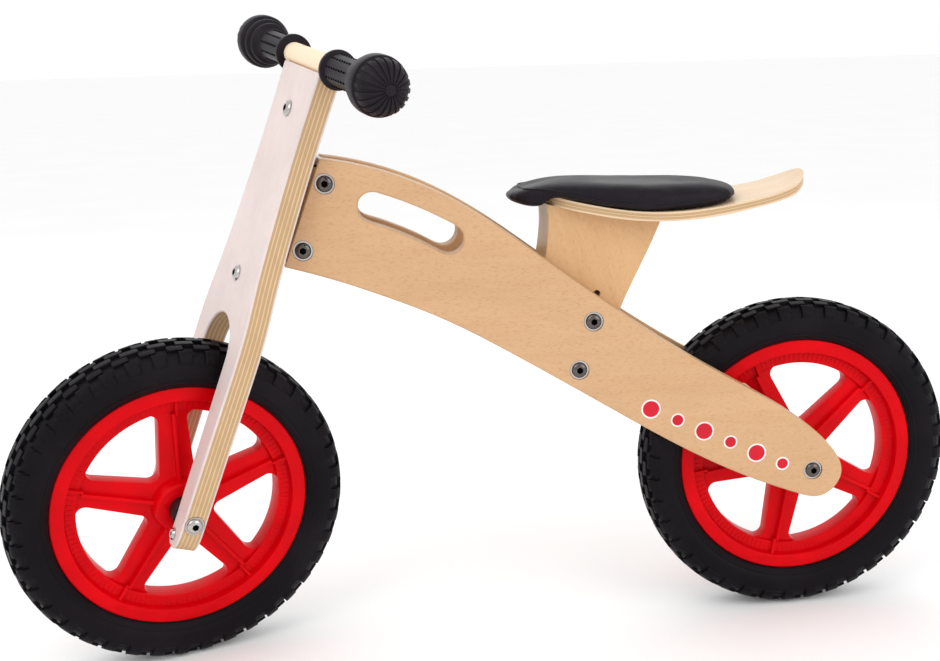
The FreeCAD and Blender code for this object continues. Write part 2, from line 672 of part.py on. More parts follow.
sets = [through_bolt(f"head_{n}", w, bolt_seat(w.x), "Sizes.bolt_radius")
        for n, w in (("high", BOLT_HIGH), ("low", BOLT_LOW))]
sets += [through_bolt(f"post_{n}", w, bolt_seat(w.x), "Sizes.bolt_radius")
         for n, w in (("high", POST_HIGH), ("low", POST_LOW))]
keep(group("head_bolts", [s[0] for s in sets[:2]]))
keep(group("post_bolts", [s[0] for s in sets[2:]]))
keep(group("frame_washers", [w for s in sets for w in s[1]]))
keep(group("frame_nuts", [s[2] for s in sets]))
rear_set = through_bolt("rear_axle", REAR_AXLE, bolt_seat(0), "Sizes.axle_radius")
keep(named(rear_set[0], "rear_axle_bolt"))
keep(group("rear_axle_washers", rear_set[1]))
keep(named(rear_set[2], "rear_axle_nut"))
axle_set("rear", REAR_WHEEL, f"{SPACER_END}")


def inner_peg(sign):
    """A short peg that stands out from a side plate's inner face."""
    outer = inner_face(size("peg_x"))
    peg = Part.makeCylinder(size("peg_radius"), outer, Vector(), Y * sign)
    peg.translate(Vector(size("peg_x"), sign * (outer - size("peg_length")), size("peg_z")))
    return peg.common(wedge_between())


keep(solid("inner_pegs", Part.makeCompound([inner_peg(1), inner_peg(-1)])))

# ---------------------------------------------------------------- fork


def fork_outline():
    """Half of the fork board's outer edge from its top down round a foot, as (side, height)."""
    foot, low = size("foot_half"), -size("foot_low")
    return [(size("top_half"), size("board_top")), (size("neck_half"), 320),
            (size("neck_half") + 3, 270), (size("crown_half") - 4.5, 208),
            (size("crown_half"), 186), (size("leg_half"), 120), (foot + 1, 40), (foot, 0),
            (foot - 1.5, low * 0.6), (foot - 5, low * 0.88), (foot - 11, low)]


def fork_board():
    """The board that is both head and legs, with the wheel's slot up its middle."""
    low = -size("foot_low")
    slot, arch = size("slot_half"), size("arch_top")
    toe = slot + size("toe_round")
    top = fork_outline()[0]
    curves = [line((-top[0], top[1]), top)]
    for sign in (1, -1):
        edge = [(sign * a, b) for a, b in fork_outline()]
        curves.append(spline(edge))
        curves.append(line(edge[-1], (sign * toe, low)))
        curves.append(Part.ArcOfCircle(
            Part.Circle(Vector(sign * toe, low + size("toe_round"), 0), Z, size("toe_round")),
            *((math.pi, math.pi * 1.5) if sign > 0 else (math.pi * 1.5, math.pi * 2))))
        curves.append(line((sign * slot, low + size("toe_round")), (sign * slot, arch - slot)))
    curves.append(Part.ArcOfCircle(Part.Circle(Vector(0, arch - slot, 0), Z, slot), 0, math.pi))
    place = FORK.multiply(Placement(Vector(), FACING))
    return padded("fork_board_blank", curves, "Sizes.board_thick", place)


def at_fork(x, y, z, direction):
    """A placement in the fork's frame whose Z points along direction."""
    return FORK.multiply(pointing(Vector(x, y, z), direction))


BAR_HEIGHT = size("board_top") + size("bar_radius") - size("bar_seat")
BAR_TOP = BAR_HEIGHT + size("bar_radius")
HALF_BOARD = size("board_thick") / 2
FOOT_FACE = size("foot_half") - size("foot_seat")
tools = [rod("bar_seat_cut", "Sizes.bar_radius", "6 * Sizes.top_half",
             at_fork(0, 0, BAR_HEIGHT, Y)),
         rod("axle_cut", "Sizes.axle_radius + Sizes.hole_gap", "4 * Sizes.leg_half",
             at_fork(0, 0, 0, Y))]
for side_name, sign in (("l", 1), ("r", -1)):
    tools.append(rod("foot_flat_" + side_name, SPOT_RADIUS, "2 * Sizes.washer_radius",
                     at_fork(0, sign * (FOOT_FACE + size("washer_radius")), 0, Y)))
for n in ("high_bolt", "low_bolt"):
    tools.append(rod("board_" + n, "Sizes.bolt_radius + Sizes.hole_gap", "4 * Sizes.board_thick",
                     at_fork(0, 0, size(n), X)))

leg_screws = []
for index, sign in enumerate((1, -1)):
    leg_screws.append(turned(f"leg_screw_{index}", [
        ("0", "-15"), ("Sizes.screw_radius", "-12"), ("Sizes.screw_radius", "0"), ("5.6", "0"),
        ("5.6", "0.8"), ("4", "2.4"), ("1.6", "2.4"), ("1.6", "1.2"), ("0", "1.2"),
    ], at_fork(HALF_BOARD, sign * size("leg_screw_side"), -size("leg_screw_drop"), X)))
bar_screws = []
for index, sign in enumerate((1, -1)):
    head = at_fork(0, sign * size("bar_screw_side"), BAR_TOP - size("screw_sink"), Z)
    bar_screws.append(wood_screw(f"bar_screw_{index}", "Sizes.bar_screw_length", head))
keep(cut("fork_board", fork_board(), tools + leg_screws + bar_screws))
keep(group("leg_screws", leg_screws))

# The bracket: a strap down the board's back with a lug above and a lug below the head.
LUG_TOP = BLOCK_TOP + size("bush_flange") + size("washer_thick") + size("play")
LUG_LOW = size("block_low") - size("bush_flange") - size("washer_thick") - size("play")


def bracket_piece(name, length, width, height, corner):
    box = doc.addObject("Part::Box", name)
    box.setExpression("Length", length)
    box.setExpression("Width", width)
    box.setExpression("Height", height)
    box.Placement = FORK.multiply(Placement(corner, Rotation()))
    return box


back = -HALF_BOARD - size("strap_thick")
half_strap = size("strap_width") / 2
strap_low = size("low_bolt") - size("strap_end")
strap = bracket_piece("strap", "Sizes.strap_thick", "Sizes.strap_width",
                      "Sizes.high_bolt - Sizes.low_bolt + 2 * Sizes.strap_end",
                      Vector(back, -half_strap, strap_low))
pieces = [strap]
for n, base in (("top", LUG_TOP), ("low", LUG_LOW - size("lug_thick"))):
    pieces.append(bracket_piece(
        "lug_" + n, "Sizes.setback - Sizes.board_thick / 2 - Sizes.strap_thick + 1",
        "Sizes.lug_width", "Sizes.lug_thick",
        Vector(-size("setback"), -size("lug_width") / 2, base)))
    pieces.append(rod("lug_end_" + n, "Sizes.lug_width / 2", "Sizes.lug_thick",
                      at_fork(-size("setback"), 0, base + size("lug_thick") / 2, Z)))
holes = [rod("lug_bore", "Sizes.pin_radius", "4 * Sizes.head_height",
             at_fork(-size("setback"), 0, (LUG_TOP + LUG_LOW) / 2, Z))]
for n in ("high_bolt", "low_bolt"):
    holes.append(rod("strap_" + n, "Sizes.bolt_radius + Sizes.hole_gap", "6 * Sizes.strap_thick",
                     at_fork(back, 0, size(n), X)))
keep(cut("fork_bracket", fused("bracket_blank", pieces), holes))

bolts, nuts = [], []
for n in ("high_bolt", "low_bolt"):
    reach = "Sizes.board_thick + Sizes.strap_thick + Sizes.nut_thick"
    bolts.append(button_bolt("bracket_" + n, reach, "Sizes.bolt_radius",
                             at_fork(HALF_BOARD, 0, size(n), X)))
    nuts.append(turned("bracket_nut_" + n, [
        ("Sizes.bolt_radius", "0"), ("Sizes.nut_flat", "0"),
        ("Sizes.nut_flat", "Sizes.nut_thick"), ("Sizes.bolt_radius", "Sizes.nut_thick"),
    ], at_fork(back, 0, size(n), -X)))
keep(group("bracket_bolts", bolts))
keep(group("bracket_nuts", nuts))

PIN_TOP = LUG_TOP + size("lug_thick")
PIN_END = LUG_LOW - size("lug_thick")
keep(named(turned("steering_pin", [
    ("0", f"-({PIN_TOP - PIN_END} + Sizes.nut_thick)"),
    ("Sizes.pin_radius", f"-({PIN_TOP - PIN_END} + Sizes.nut_thick)"), ("Sizes.pin_radius", "0"),
    ("Sizes.pin_head", "0"), ("Sizes.pin_head", "Sizes.pin_head_thick - 1"),
    ("Sizes.pin_head - 1", "Sizes.pin_head_thick"), ("0", "Sizes.pin_head_thick"),
], at_fork(-size("setback"), 0, PIN_TOP, Z)), "steering_pin"))
keep(named(turned("steering_pin_nut", [
    ("Sizes.pin_radius", "0"), ("Sizes.pin_head", "0"),
    ("Sizes.pin_head", "Sizes.nut_thick"), ("Sizes.pin_radius", "Sizes.nut_thick"),
], at_fork(-size("setback"), 0, PIN_END, -Z)), "steering_pin_nut"))
rings = []
for n, base, way in (("top", LUG_TOP, -Z), ("low", LUG_LOW, Z)):
    rings.append(turned("steering_ring_" + n, [
        ("Sizes.pin_radius", "0"), ("Sizes.washer_radius", "0"),
        ("Sizes.washer_radius", "Sizes.washer_thick"), ("Sizes.pin_radius", "Sizes.washer_thick"),
    ], at_fork(-size("setback"), 0, base, way)))
keep(group("steering_washers", rings))

fork_set = through_bolt("front_axle", Vector(), FOOT_FACE, "Sizes.axle_radius")
front_parts = [fork_set[0]] + fork_set[1] + [fork_set[2]]
for obj in front_parts:
    obj.Placement = FORK.multiply(obj.Placement)
keep(named(fork_set[0], "front_axle_bolt"))
keep(group("front_axle_washers", fork_set[1]))
keep(named(fork_set[2], "front_axle_nut"))
axle_set("front", FRONT_WHEEL, "Sizes.slot_half")

# ---------------------------------------------------------------- handlebar

bar = turned("handlebar_blank", [
    ("0", "-Sizes.bar_half"), ("Sizes.bar_radius - 1", "-Sizes.bar_half"),
    ("Sizes.bar_radius", "-Sizes.bar_half + 1"), ("Sizes.bar_radius", "Sizes.bar_half - 1"),
    ("Sizes.bar_radius - 1", "Sizes.bar_half"), ("0", "Sizes.bar_half"),
], at_fork(0, 0, BAR_HEIGHT, Y))
sink_height = BAR_TOP - size("screw_sink") - size("screw_rim") + size("screw_head")
bar_sinks = [rod(f"bar_sink_{index}", "Sizes.screw_head", "2 * Sizes.screw_head",
                 at_fork(0, sign * size("bar_screw_side"), sink_height, Z))
             for index, sign in enumerate((1, -1))]
keep(cut("handlebar", bar, bar_screws + bar_sinks))
keep(group("bar_screws", bar_screws))


def hand_grip(side, sign):
    """A rubber grip: inner flange, sleeve, and a stepped round knob that closes the end."""
    bore = "Sizes.bar_radius"
    knob = "Sizes.knob_radius"
    steps = [
        (bore, "Sizes.grip_start"), ("Sizes.flange_radius - 0.8", "Sizes.grip_start"),
        ("Sizes.flange_radius", "Sizes.grip_start + 0.8"),
        ("Sizes.flange_radius", "Sizes.grip_start + Sizes.grip_flange - 0.8"),
        ("Sizes.sleeve_grip_radius", "Sizes.grip_start + Sizes.grip_flange"),
        ("Sizes.sleeve_grip_radius", "Sizes.knob_start"),
        (knob + " * 0.78", "Sizes.knob_start + 2"), (knob + " * 0.78", "Sizes.knob_start + 8"),
        (knob + " * 0.9", "Sizes.knob_start + 9"), (knob + " * 0.9", "Sizes.knob_start + 15"),
        (knob, "Sizes.knob_start + 17"), (knob, "Sizes.knob_start + 28"),
        (knob + " * 0.93", "Sizes.knob_start + 36"), (knob + " * 0.76", "Sizes.knob_start + 43"),
        (knob + " * 0.5", "Sizes.grip_end - 2.2"), (knob + " * 0.25", "Sizes.grip_end - 0.5"),
        ("0", "Sizes.grip_end"), ("0", "Sizes.bar_half"), (bore, "Sizes.bar_half"),
    ]
    way = Vector(0, sign, 0)
    keep(named(turned("grip_" + side, steps, at_fork(0, 0, BAR_HEIGHT, way)), "grip_" + side))


hand_grip("left", 1)
hand_grip("right", -1)

# ---------------------------------------------------------------- checks and export

doc.recompute()
for obj in doc.Objects:
    failed = [s for s in obj.State if s in ("Invalid", "Error")]
    if failed:
        raise RuntimeError(f"{obj.Label} is {failed}")
os.makedirs("parts", exist_ok=True)
for node in NODES:
    shape = node.Shape
    if shape.isNull() or not shape.isValid():
        raise RuntimeError(f"{node.Label} has no valid shape")
for node in NODES:
    node.Shape.exportStep(f"parts/{node.Label}.step")
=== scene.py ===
"""Wooden balance bike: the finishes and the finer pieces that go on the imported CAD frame."""
import json
import math

import bpy
from bpy.props import FloatProperty, FloatVectorProperty, IntProperty, PointerProperty
from mathutils import Matrix, Vector


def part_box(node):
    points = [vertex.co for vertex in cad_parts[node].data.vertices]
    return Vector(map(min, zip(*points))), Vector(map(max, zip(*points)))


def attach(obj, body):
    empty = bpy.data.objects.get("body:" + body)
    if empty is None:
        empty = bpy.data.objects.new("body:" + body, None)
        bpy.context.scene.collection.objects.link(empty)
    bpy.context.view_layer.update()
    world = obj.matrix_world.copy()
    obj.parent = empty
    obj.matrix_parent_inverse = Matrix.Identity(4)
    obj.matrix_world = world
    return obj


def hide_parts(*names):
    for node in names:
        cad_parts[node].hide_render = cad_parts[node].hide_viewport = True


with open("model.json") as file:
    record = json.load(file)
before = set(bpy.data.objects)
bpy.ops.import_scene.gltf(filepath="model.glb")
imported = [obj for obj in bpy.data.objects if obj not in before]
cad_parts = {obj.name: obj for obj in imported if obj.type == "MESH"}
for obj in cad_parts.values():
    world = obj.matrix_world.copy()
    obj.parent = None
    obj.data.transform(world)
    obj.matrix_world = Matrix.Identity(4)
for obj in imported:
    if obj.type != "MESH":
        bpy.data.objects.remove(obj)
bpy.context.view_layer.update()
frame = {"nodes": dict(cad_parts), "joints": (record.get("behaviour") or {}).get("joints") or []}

bl_info = {
    "name": "Balance bike",
    "version": (1, 0, 0),
    "blender": (4, 5, 0),
    "location": "3D View > Sidebar > Bike",
    "description": "Builds the wheels, grips, cushion and finishes of a wooden balance bike",
    "category": "Object",
}

JOINTS = {joint["name"]: joint for joint in frame["joints"]}
MM = 0.001

# ---------------------------------------------------------------- the CAD model's own axes

AXLE_HEIGHT = JOINTS["rear_wheel_spin"]["pos_m"][2]
RAKE = math.asin(-JOINTS["steering"]["axis"][0])
REST_TURN = math.radians(20)
SETBACK = 25 * MM
WHEELBASE = 578 * MM
BAR_HEIGHT = 404.5 * MM
PLATE_SPLAY = math.atan2(33.5, 451.83)
PLATE_HALF = 62 * MM
BOARD_HALF = 10 * MM
# Which way a wheel's own axes point: its Z is the axle, to the rider's left.
WHEEL_TURN = Matrix(((1, 0, 0), (0, 0, 1), (0, -1, 0))).to_4x4()


def fork_matrix():
    """The fork's own frame: x square to the board, y to the left and z up the board."""
    raked = Matrix.Translation((WHEELBASE, 0, AXLE_HEIGHT)) @ Matrix.Rotation(-RAKE, 4, "Y")
    pin = Matrix.Translation((-SETBACK, 0, 0))
    return raked @ pin @ Matrix.Rotation(REST_TURN, 4, "Z") @ pin.inverted()


FORK = fork_matrix()
WHEELS = {
    "rear": (Matrix.Translation((0, 0, AXLE_HEIGHT)) @ WHEEL_TURN, -64),
    "front": (FORK @ WHEEL_TURN, 3),
}


# ---------------------------------------------------------------- what a user would change

class BikeFinishes(bpy.types.PropertyGroup):
    """The colours of the bike's finishes."""

    frame_wood: FloatVectorProperty(
        name="Frame wood", description="Face of the side plates", subtype="COLOR",
        default=(0.625, 0.385, 0.21), min=0, max=1)
    post_wood: FloatVectorProperty(
        name="Post wood", description="Face of the seat post", subtype="COLOR",
        default=(0.65, 0.395, 0.20), min=0, max=1)
    fork_wood: FloatVectorProperty(
        name="Fork wood", description="Face of the fork board", subtype="COLOR",
        default=(0.74, 0.625, 0.60), min=0, max=1)
    seat_wood: FloatVectorProperty(
        name="Seat wood", description="Face of the seat board", subtype="COLOR",
        default=(0.76, 0.57, 0.38), min=0, max=1)
    light_ply: FloatVectorProperty(
        name="Light layer", description="The lighter layers in a plywood edge", subtype="COLOR",
        default=(0.68, 0.475, 0.275), min=0, max=1)
    dark_ply: FloatVectorProperty(
        name="Dark layer", description="The darker layers in a plywood edge", subtype="COLOR",
        default=(0.52, 0.335, 0.175), min=0, max=1)
    rim_red: FloatVectorProperty(
        name="Rim red", description="Moulded plastic of the wheels", subtype="COLOR",
        default=(0.66, 0.0, 0.004), min=0, max=1)
    tyre_black: FloatVectorProperty(
        name="Tyre black", description="Foam rubber of the tyres", subtype="COLOR",
        default=(0.004, 0.003, 0.0045), min=0, max=1)
    cushion_black: FloatVectorProperty(
        name="Cushion black", description="Leatherette of the seat cushion", subtype="COLOR",
        default=(0.010, 0.007, 0.011), min=0, max=1)


class BikeSizes(bpy.types.PropertyGroup):
    """The sizes of the pieces that are modelled here."""

    tread_pitches: IntProperty(
        name="Tread pitches", description="How often the tread pattern repeats round a tyre",
        default=40, min=20, max=60)
    tread_depth: FloatProperty(
        name="Tread depth", description="How far the tread blocks stand above the grooves",
        default=3.2 * MM, min=0.001, max=0.006, unit="LENGTH")
    serrations: IntProperty(
        name="Serrations", description="Fine ribs in each rim's channel",
        default=130, min=40, max=240)
    cushion_swell: FloatProperty(
        name="Cushion swell", description="The most that the cover may bulge when it is filled",
        default=2.5 * MM, min=0.0, max=0.02, unit="LENGTH")
    grip_dots: IntProperty(
        name="Grip dots", description="Dots in each row along a grip's sleeve",
        default=9, min=4, max=20)


def finishes():
    return bpy.context.scene.bike_finishes


def sizes():
    return bpy.context.scene.bike_sizes


# ---------------------------------------------------------------- modelling by hand

def leave_edit():
    """Back to object mode with nothing selected."""
    if bpy.context.object and bpy.context.object.mode != "OBJECT":
        bpy.ops.object.mode_set(mode="OBJECT")
    bpy.ops.object.select_all(action="DESELECT")


def pick(*objs):
    """Select just these objects; the first is the active one."""
    leave_edit()
    for obj in objs:
        obj.select_set(True)
    bpy.context.view_layer.objects.active = objs[0]


def start_outline(name, corners):
    """Draw an outline of (radius, height) corners in the XZ plane and stay in edit mode."""
    leave_edit()
    bpy.ops.mesh.primitive_plane_add(size=MM, location=(0, 0, 0))
    obj = bpy.context.object
    obj.name = name
    bpy.ops.object.mode_set(mode="EDIT")
    bpy.ops.mesh.select_all(action="SELECT")
    bpy.ops.mesh.merge(type="CENTER")
    first = corners[0]
    bpy.ops.transform.translate(value=(first[0], 0, first[1]))
    for here, there in zip(corners, corners[1:]):
        step = (there[0] - here[0], 0, there[1] - here[1])
        bpy.ops.mesh.extrude_vertices_move(TRANSFORM_OT_translate={"value": step})
    bpy.ops.mesh.select_all(action="SELECT")
    return obj


def spun(name, corners, steps):
    """A closed outline turned right round Z."""
    obj = start_outline(name, corners + corners[:1])
    bpy.ops.mesh.spin(steps=steps, angle=math.tau, center=(0, 0, 0), axis=(0, 0, 1))
    tidy_mesh()
    return obj


def tidy_mesh():
    """Merge what coincides and point the faces outwards, then leave edit mode."""
    bpy.ops.mesh.select_all(action="SELECT")
    bpy.ops.mesh.remove_doubles(threshold=1e-5)
    bpy.ops.mesh.normals_make_consistent(inside=False)
    bpy.ops.object.mode_set(mode="OBJECT")


def arc_block(name, corners, start, sweep, steps, ease):
    """A solid block: a closed outline turned through part of a circle about Z."""
    obj = start_outline(name, corners)
    bpy.ops.mesh.edge_face_add()
    bpy.ops.transform.rotate(value=-start, orient_axis="Z", orient_type="GLOBAL",
                             center_override=(0, 0, 0))
    bpy.ops.mesh.spin(steps=steps, angle=sweep, center=(0, 0, 0), axis=(0, 0, 1))
    bpy.ops.mesh.select_all(action="SELECT")
    bpy.ops.mesh.remove_doubles(threshold=1e-6)
    bpy.ops.mesh.normals_make_consistent(inside=False)
    if ease:
        bpy.ops.mesh.bevel(offset=ease, segments=1, affect="EDGES")
    bpy.ops.object.mode_set(mode="OBJECT")
    return obj


def repeat_round(obj, count):
    """Copy all of a mesh evenly round Z."""
    pick(obj)
    bpy.ops.object.mode_set(mode="EDIT")
    bpy.ops.mesh.select_all(action="SELECT")
    bpy.ops.mesh.spin(steps=count - 1, angle=math.tau * (count - 1) / count, dupli=True,
                      center=(0, 0, 0), axis=(0, 0, 1))
    bpy.ops.object.mode_set(mode="OBJECT")


def joined(name, parts):
    """Several objects made one mesh."""
    pick(*parts)
    bpy.ops.object.join()
    obj = bpy.context.object
    obj.name = name
    obj.data.name = name
    return obj


def apply_modifiers(obj):
    pick(obj)
    for modifier in list(obj.modifiers):
        bpy.ops.object.modifier_apply(modifier=modifier.name)


def put(obj, matrix):
    """Set a finished mesh in its place and leave its object at the origin."""
    pick(obj)
    obj.matrix_world = matrix
    bpy.ops.object.transform_apply(location=True, rotation=True, scale=True)


def smooth(obj, degrees=35):
    pick(obj)
    bpy.ops.object.shade_smooth_by_angle(angle=math.radians(degrees))


def node_copy(node, name):
    """A merged copy of a CAD node's mesh, with its flat faces whole again."""
    source = frame["nodes"][node]
    obj = bpy.data.objects.new(name, source.data.copy())
    bpy.context.scene.collection.objects.link(obj)
    obj.data.materials.clear()
    pick(obj)
    if obj.data.has_custom_normals:
        bpy.ops.mesh.customdata_custom_splitnormals_clear()
    bpy.ops.object.mode_set(mode="EDIT")
    bpy.ops.mesh.select_all(action="SELECT")
    bpy.ops.mesh.remove_doubles(threshold=1e-5)
    bpy.ops.mesh.dissolve_limited(angle_limit=math.radians(0.5))
    bpy.ops.object.mode_set(mode="OBJECT")
    return obj


def ease_edges(obj, width, segments=2, degrees=30):
    """Round a mesh's sharp edges off."""
    bevel = obj.modifiers.new("Eased edges", "BEVEL")
    bevel.width = width
    bevel.segments = segments
    bevel.limit_method = "ANGLE"
    bevel.angle_limit = math.radians(degrees)
    bevel.use_clamp_overlap = True
    apply_modifiers(obj)


def finish_piece(obj, material, body, slot, *nodes):
    """Give a piece its finish and its body, and let it stand for its CAD nodes."""
    if not obj.data.materials:
        obj.data.materials.append(material)
    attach(obj, body)
    if nodes:
        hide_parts(*nodes)
    return obj


# ---------------------------------------------------------------- node groups and materials

def add_node(tree, kind, feeds=(), **settings):
    """A shader node: settings are its properties, feeds its inputs, as values or links."""
    made = tree.nodes.new("ShaderNode" + kind)
    for name, value in settings.items():
        setattr(made, name, value)
    for key, value in dict(feeds).items():
        if isinstance(value, bpy.types.NodeSocket):
            tree.links.new(value, made.inputs[key])
        else:
            made.inputs[key].default_value = value
    return made


def maths(tree, operation, *values):
    node = add_node(tree, "Math", dict(enumerate(values)), operation=operation)
    return node.outputs[0]


def blend(tree, mask, below, above):
    """One colour over another."""
    feeds = {"Factor": mask, "A": below, "B": above}
    node = add_node(tree, "Mix", {}, data_type="RGBA")
    for key, value in feeds.items():
        socket = next(s for s in node.inputs if s.name == key and s.enabled)
        if isinstance(value, bpy.types.NodeSocket):
            tree.links.new(value, socket)
        else:
            socket.default_value = value
    return next(s for s in node.outputs if s.enabled)


def ranged(tree, value, low, high, to_low=0.0, to_high=1.0):
    """A value eased from one range to another."""
    node = add_node(tree, "MapRange", {"Value": value, "From Min": low, "From Max": high,
                                       "To Min": to_low, "To Max": to_high},
                    interpolation_type="SMOOTHSTEP")
    return node.outputs["Result"]


def new_group(name, inputs, outputs):
    """An empty shader group: inputs and outputs are (name, socket type, default)."""
    tree = bpy.data.node_groups.new(name, "ShaderNodeTree")
    for label, kind, default in inputs:
        socket = tree.interface.new_socket(label, in_out="INPUT", socket_type="NodeSocket" + kind)
        if default is not None:
            socket.default_value = default
    for label, kind in outputs:
        tree.interface.new_socket(label, in_out="OUTPUT", socket_type="NodeSocket" + kind)
    return tree, tree.nodes.new("NodeGroupInput"), tree.nodes.new("NodeGroupOutput")


def figure_group():
    """Wood figure that runs along the vector's X: slow streaks, fine pores and soft clouds."""
    tree, given, out = new_group(
        "Wood figure", [("Vector", "Vector", None), ("Scale", "Float", 1.0)],
        [("Streaks", "Float"), ("Pores", "Float"), ("Clouds", "Float")])

    def stretched(x, y, z):
        feeds = {0: given.outputs["Vector"], "Scale": given.outputs["Scale"]}
        scaled = add_node(tree, "VectorMath", feeds, operation="SCALE")
        return add_node(tree, "VectorMath", {0: scaled.outputs[0], 1: (x, y, z)},
                        operation="MULTIPLY").outputs[0]

    streaks = add_node(tree, "TexNoise", {"Vector": stretched(5, 90, 90), "Scale": 1.0,
                                          "Detail": 5.0, "Roughness": 0.6, "Distortion": 0.6})
    pores = add_node(tree, "TexNoise", {"Vector": stretched(260, 900, 900), "Scale": 1.0,
                                        "Detail": 2.0, "Roughness": 0.5})
    clouds = add_node(tree, "TexNoise", {"Vector": stretched(9, 22, 22), "Scale": 1.0,
                                         "Detail": 3.0, "Roughness": 0.55})
    tree.links.new(ranged(tree, streaks.outputs[0], 0.42, 0.68), out.inputs["Streaks"])
    tree.links.new(ranged(tree, pores.outputs[0], 0.5, 0.72), out.inputs["Pores"])
    tree.links.new(ranged(tree, clouds.outputs[0], 0.3, 0.7), out.inputs["Clouds"])
    return tree


def layers_group():
    """Plywood layers by depth under the face: the face veneer, every other layer, glue lines."""
    tree, given, out = new_group(
        "Ply layers", [("Depth", "Float", 0.0), ("Layer", "Float", 0.0014)],
        [("Face", "Float"), ("Other", "Float"), ("Glue", "Float")])
    count = maths(tree, "DIVIDE", given.outputs["Depth"], given.outputs["Layer"])
    tree.links.new(maths(tree, "LESS_THAN", count, 1.0), out.inputs["Face"])
    floor = maths(tree, "FLOOR", count)
    tree.links.new(maths(tree, "MODULO", floor, 2.0), out.inputs["Other"])
    wave = maths(tree, "PINGPONG", count, 0.5)
    inside = maths(tree, "GREATER_THAN", count, 0.5)
    line = ranged(tree, wave, 0.02, 0.16, 1.0, 0.0)
    tree.links.new(maths(tree, "MULTIPLY", line, inside), out.inputs["Glue"])
    return tree


def handling_group():
    """Faint rubbed patches and specks that break up a surface's gloss."""
    tree, given, out = new_group(
        "Handling", [("Vector", "Vector", None), ("Patch", "Float", 18.0)],
        [("Rubbed", "Float"), ("Specks", "Float")])
    patches = add_node(tree, "TexNoise", {"Vector": given.outputs["Vector"],
                                          "Scale": given.outputs["Patch"], "Detail": 4.0})
    specks = add_node(tree, "TexNoise", {"Vector": given.outputs["Vector"], "Scale": 900.0,
                                         "Detail": 1.0})
    tree.links.new(ranged(tree, patches.outputs[0], 0.35, 0.7), out.inputs["Rubbed"])
    tree.links.new(ranged(tree, specks.outputs[0], 0.6, 0.75), out.inputs["Specks"])
    return tree


def grain_group():
    """The small irregular cells of grained skin or foam, as a height."""
    tree, given, out = new_group(
        "Skin grain", [("Vector", "Vector", None), ("Scale", "Float", 500.0)],
        [("Height", "Float"), ("Creases", "Float")])
    cells = add_node(tree, "TexVoronoi", {"Vector": given.outputs["Vector"],
                                          "Scale": given.outputs["Scale"], "Randomness": 1.0},
                     feature="DISTANCE_TO_EDGE")
    soft = add_node(tree, "TexNoise", {"Vector": given.outputs["Vector"], "Scale": 160.0,
                                       "Detail": 3.0})
    crease = ranged(tree, cells.outputs[0], 0.0, 0.12, 1.0, 0.0)
    height = maths(tree, "SUBTRACT", soft.outputs[0], maths(tree, "MULTIPLY", crease, 0.6))
    tree.links.new(height, out.inputs["Height"])
    tree.links.new(crease, out.inputs["Creases"])
    return tree


def new_material(name):
    """A material with its Principled shader and its object coordinates."""
    material = bpy.data.materials.new(name)
    material.use_nodes = True
    tree = material.node_tree
    shader = tree.nodes["Principled BSDF"]
    point = add_node(tree, "TexCoord").outputs["Object"]
    return material, tree, shader, point


def use_group(tree, name, **feeds):
    node = tree.nodes.new("ShaderNodeGroup")
    node.node_tree = bpy.data.node_groups[name]
    for key, value in feeds.items():
        if isinstance(value, bpy.types.NodeSocket):
            tree.links.new(value, node.inputs[key])
        else:
            node.inputs[key].default_value = value
    return node


def bump(tree, shader, height, distance, strength=0.5):
    node = add_node(tree, "Bump", {"Height": height, "Distance": distance, "Strength": strength})
    tree.links.new(node.outputs["Normal"], shader.inputs["Normal"])


def shades(colour, factor):
    return (*[min(1.0, c * factor) for c in colour], 1.0)


def plywood(name, face, depth_of, layer, turn=None, pores=0.35):
    """Lacquered birch plywood: a figured face and layers that show wherever it is cut."""
    look = finishes()
    material, tree, shader, point = new_material(name)
    along = point
    if turn is not None:
        mapping = add_node(tree, "Mapping", {"Vector": point, "Rotation": turn})
        along = mapping.outputs[0]
    figure = use_group(tree, "Wood figure", Vector=along)
    layers = use_group(tree, "Ply layers", Depth=depth_of(tree, point), Layer=layer)
    handled = use_group(tree, "Handling", Vector=point)
    inner = blend(tree, layers.outputs["Other"], shades(look.light_ply, 1),
                  shades(look.dark_ply, 1))
    inner = blend(tree, maths(tree, "MULTIPLY", figure.outputs["Streaks"], 0.35), inner,
                  shades(look.dark_ply, 0.9))
    inner = blend(tree, maths(tree, "MULTIPLY", layers.outputs["Glue"], 0.55), inner,
                  shades(look.dark_ply, 0.45))
    face_tone = blend(tree, maths(tree, "MULTIPLY", figure.outputs["Clouds"], 0.5),
                      shades(face, 0.93), shades(face, 1.06))
    face_tone = blend(tree, maths(tree, "MULTIPLY", figure.outputs["Streaks"], 0.30), face_tone,
                      shades((face[0], face[1] * 0.92, face[2] * 0.82), 0.86))
    face_tone = blend(tree, maths(tree, "MULTIPLY", figure.outputs["Pores"], pores), face_tone,
                      shades((face[0], face[1] * 0.85, face[2] * 0.7), 0.72))
    colour = blend(tree, layers.outputs["Face"], inner, face_tone)
    tree.links.new(colour, shader.inputs["Base Color"])
    rough = maths(tree, "MULTIPLY_ADD", handled.outputs["Rubbed"], 0.12, 0.36)
    rough = maths(tree, "MULTIPLY_ADD", figure.outputs["Pores"], 0.1, rough)
    tree.links.new(rough, shader.inputs["Roughness"])
    height = maths(tree, "SUBTRACT", maths(tree, "MULTIPLY", figure.outputs["Streaks"], -0.25),
                   figure.outputs["Pores"])
    height = maths(tree, "MULTIPLY_ADD", layers.outputs["Glue"], -0.8, height)
    bump(tree, shader, height, 0.00008, 0.6)
    shader.inputs["Specular IOR Level"].default_value = 0.25
    return material


